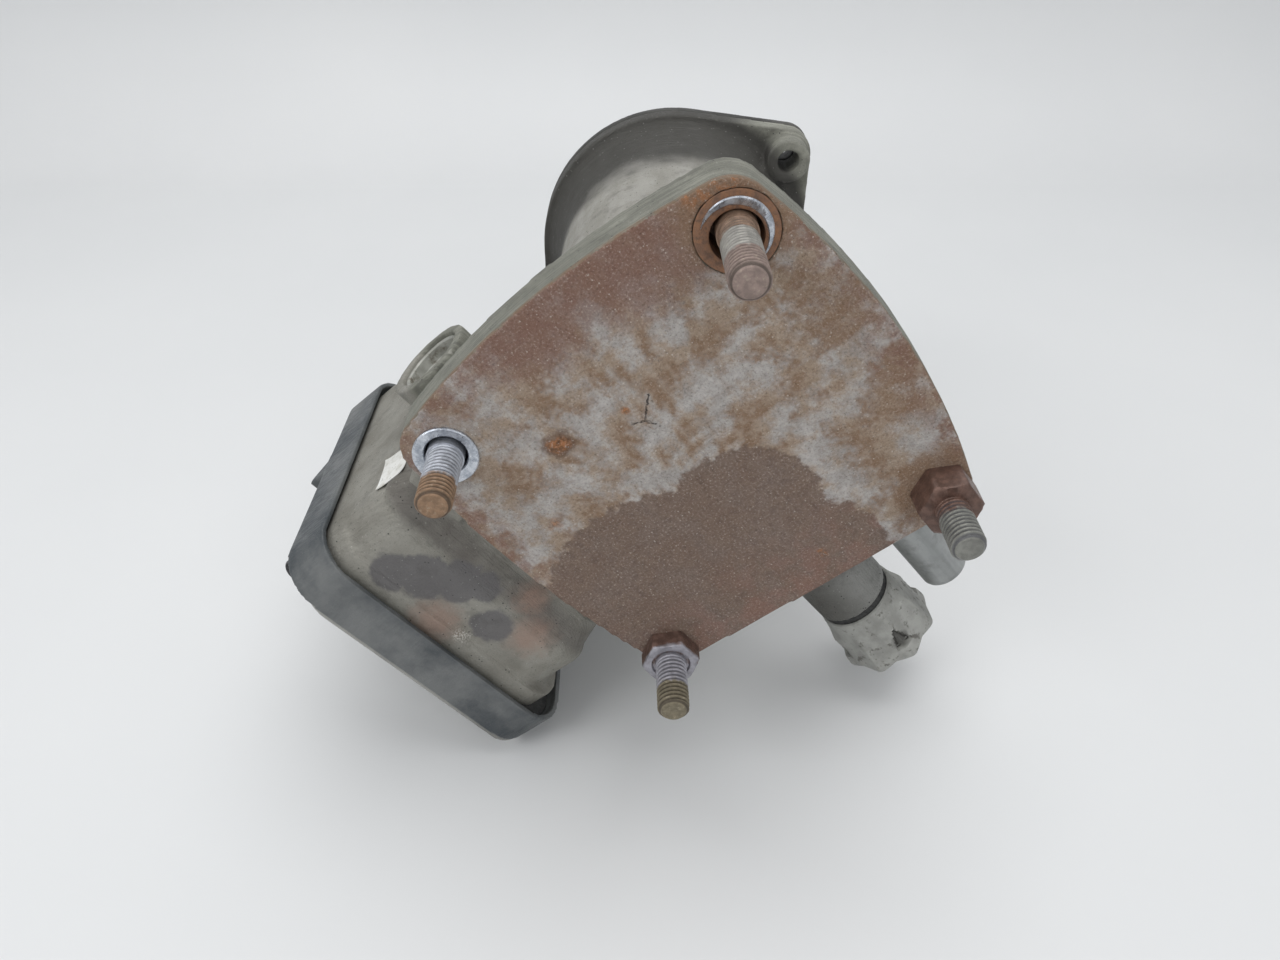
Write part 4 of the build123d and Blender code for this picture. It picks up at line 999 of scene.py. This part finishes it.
# %% Label
label_paper, r, shader, place = new_finish("aged_label", Roughness=0.55)
tone = r.mix(blotches(r, place, 3.0, 0.55, 0.15), (0.72, 0.72, 0.69), (0.52, 0.51, 0.46))
tone = r.mix(blotches(r, place, 1.2, 0.66, 0.04), tone, (0.2, 0.19, 0.16))
paint(r, shader, Base_Color=tone, Normal=r.bump(r.noise(place, 1.2, 3.0), 0.04))
label_mesh = frame["nodes"]["label"].data.copy()
label_mesh.transform(SQUARE)
corners = np.array([v.co for v in label_mesh.vertices]) / MM
bpy.data.meshes.remove(label_mesh)
(x0, y0, _), (x1, y1, z1) = corners.min(0), corners.max(0)
LABEL_ROWS, ROW_POINTS, CORNER_LIFT, LABEL_THICK = 16, 20, 0.35, 0.15
rows = []
for share in np.linspace(0, 1, LABEL_ROWS):
    x = np.full(ROW_POINTS, x0 + (x1 - x0) * share)
    side = np.linspace(0, 1, ROW_POINTS)
    lift = CORNER_LIFT * (abs(2 * share - 1) ** 4) * (np.abs(2 * side - 1) ** 4)
    y = y0 + (y1 - y0) * side
    rows.append(np.r_[np.c_[x, y, z1 + lift], np.c_[x, y, z1 + lift - LABEL_THICK][::-1]])
label = skin("blank_label", rows)
label.data.materials.append(label_paper)
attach(label, "housing")
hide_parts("label")

# %% [markdown]
# ## The parts inside and the small parts
# The pump, motor, bearings, board and screws keep their CAD shapes, which are the true ones. Each gets
# its own finish, from a short list of what it is made of: two tones, how metallic, how rough, the size
# of its grain, and whether the grain runs one way, as it does on ground, drawn or stacked metal.


# %% Workshop finishes
EVEN = (1, 1, 1)


def plain_finish(name, dark, light, metallic, roughness, size, stretch=EVEN, depth=0.05):
    material, r, shader, place = new_finish(name, Metallic=metallic)
    run = r.noise(r.stretched(place, tuple(size * s for s in stretch)), 1.0, 5.0, 0.6)
    tone = r.mix(r.ramp(run, 0.32, 0.68), dark, light)
    tone = r.mix(blotches(r, place, 4.0, 0.62, 0.08), tone, tuple(0.6 * c for c in dark))
    paint(r, shader,
          Base_Color=tone, Roughness=r.blend(run, roughness - 0.06, roughness + 0.1),
          Normal=r.bump(run, depth))
    return material


workshop_list = {
    "zinc_bolt_steel": ("zinc_steel", (0.4, 0.42, 0.45), (0.6, 0.62, 0.66), 0.8, 0.34, 2.0),
    "bearing_steel": ("ground_steel", (0.5, 0.5, 0.52), (0.68, 0.68, 0.7), 1.0, 0.22, 1.0, (1, 8, 1), 0.01),
    "spring_steel": ("spring_wire", (0.3, 0.3, 0.32), (0.5, 0.5, 0.52), 0.9, 0.35, 0.8),
    "sintered_steel": ("sintered_steel", (0.25, 0.25, 0.25), (0.38, 0.38, 0.38), 0.8, 0.5, 0.3, EVEN, 0.08),
    "machined_aluminium": (
        "machined_aluminium", (0.6, 0.6, 0.6), (0.75, 0.75, 0.75), 0.9, 0.35, 0.8, (1, 10, 1), 0.02),
    "black_screw_steel": ("blackened_steel", (0.03, 0.03, 0.032), (0.09, 0.09, 0.095), 0.7, 0.45, 1.0),
    "lamination_steel": (
        "stacked_laminations", (0.18, 0.18, 0.19), (0.36, 0.36, 0.38), 0.8, 0.42, 0.35, (60, 1, 60), 0.06),
    "black_rubber": ("black_rubber", (0.018, 0.018, 0.018), (0.05, 0.05, 0.048), 0.0, 0.75, 0.8, EVEN, 0.08),
    "brass_cage": ("pressed_brass", (0.5, 0.36, 0.16), (0.66, 0.5, 0.25), 0.9, 0.35, 1.5),
    "copper_winding": (
        "enamelled_copper", (0.3, 0.1, 0.04), (0.62, 0.26, 0.1), 0.8, 0.3, 0.45, (1, 30, 1), 0.2),
    "magnet_grey": ("coated_magnet", (0.12, 0.12, 0.13), (0.2, 0.2, 0.21), 0.6, 0.4, 1.0),
    "board_green": ("solder_mask", (0.01, 0.09, 0.035), (0.02, 0.14, 0.06), 0.0, 0.3, 2.5, (1, 1, 8), 0.05),
    "chip_black": ("chip_resin", (0.015, 0.015, 0.016), (0.035, 0.035, 0.036), 0.0, 0.5, 0.3, EVEN, 0.03),
    "capacitor_sleeve": ("capacitor_sleeve", (0.01, 0.015, 0.06), (0.03, 0.04, 0.11), 0.0, 0.3, 3.0),
    "lead_insulation": ("wire_insulation", (0.3, 0.02, 0.015), (0.45, 0.05, 0.03), 0.0, 0.45, 2.0),
    "connector_plastic": ("connector_plastic", (0.03, 0.03, 0.03), (0.07, 0.07, 0.068), 0.0, 0.45, 1.2),
    "pin_brass": ("plated_pins", (0.55, 0.42, 0.18), (0.75, 0.62, 0.34), 1.0, 0.28, 1.0),
}
workshop = {slot: plain_finish(*values) for slot, values in workshop_list.items()}
slots = {part["node"]: part["material_slot"] for part in frame["record"]["subparts"]}
dressed = 0
for name, node in frame["nodes"].items():
    if not node.hide_render:
        node.data.materials.clear()
        node.data.materials.append(workshop[slots[name]])
        dressed += 1
print("CAD nodes with a finish:", dressed)

# %% [markdown]
# ## Floor and light
# The unit lies on a pale table that runs up into a pale backdrop. A wide softbox above gives the soft
# shadow under it, one from the left shapes the can, a weak one in front opens the face of the flange,
# and an even world fills the rest.

# %% Floor
floor_finish, r, shader, place = new_finish("pale_table", Roughness=0.55)
paint(r, shader,
      Base_Color=r.mix(r.noise(place, 220.0, 3.0), (0.66, 0.67, 0.675), (0.73, 0.735, 0.735)),
      Normal=r.bump(r.noise(place, 5.0, 3.0), 0.03))
UNDER = 0.0002
FLOOR_Z, FRONT_Y = cad_box[0][2] - UNDER, -1.2
BACK_Y, BACK_R, BACK_HIGH, WIDE = 0.62, 0.12, 1.2, 1.6
section = [(FRONT_Y, FLOOR_Z), (BACK_Y - BACK_R, FLOOR_Z)]
BEND_STEPS = 8
for step in range(1, BEND_STEPS + 1):
    angle = math.pi / 2 * step / BEND_STEPS
    section.append((BACK_Y - BACK_R + BACK_R * math.sin(angle), FLOOR_Z + BACK_R * (1 - math.cos(angle))))
section.append((BACK_Y, FLOOR_Z + BACK_HIGH))
verts = [(x, y, z) for x in (-WIDE, WIDE) for y, z in section]
count = len(section)
faces = [(i, i + count, i + count + 1, i + 1) for i in range(count - 1)]
sweep = bpy.data.meshes.new("table_and_backdrop")
sweep.from_pydata(verts, [], faces)
sweep.shade_smooth()
table = show("table_and_backdrop", sweep)
table.data.materials.append(floor_finish)
print("floor at", round(FLOOR_Z, 4))


# %% Lights
UNIT_MIDDLE = Vector((0, 0.06, 0))
WORLD_TINT, WORLD_STRENGTH = (0.95, 0.97, 1.0, 1.0), 0.5


def softbox(name, place, size, watts, colour=(1, 1, 1)):
    light = bpy.data.lights.new(name, "AREA")
    light.shape, light.size, light.energy, light.color = "SQUARE", size, watts, colour
    lamp = bpy.data.objects.new(name, light)
    bpy.context.scene.collection.objects.link(lamp)
    lamp.location = place
    lamp.rotation_euler = (UNIT_MIDDLE - Vector(place)).to_track_quat("-Z", "Y").to_euler()
    return lamp


softbox("softbox_above", (0.05, 0.15, 1.0), 0.9, 6.5)
softbox("softbox_left", (-0.7, -0.5, 0.6), 0.5, 3.0)
softbox("softbox_front", (0.35, -0.8, 0.5), 0.5, 1.6)
world = bpy.data.worlds.new("studio")
bpy.context.scene.world = world
world.use_nodes = True
world.node_tree.nodes["Background"].inputs["Color"].default_value = WORLD_TINT
world.node_tree.nodes["Background"].inputs["Strength"].default_value = WORLD_STRENGTH
bpy.context.scene.view_settings.view_transform = "Standard"
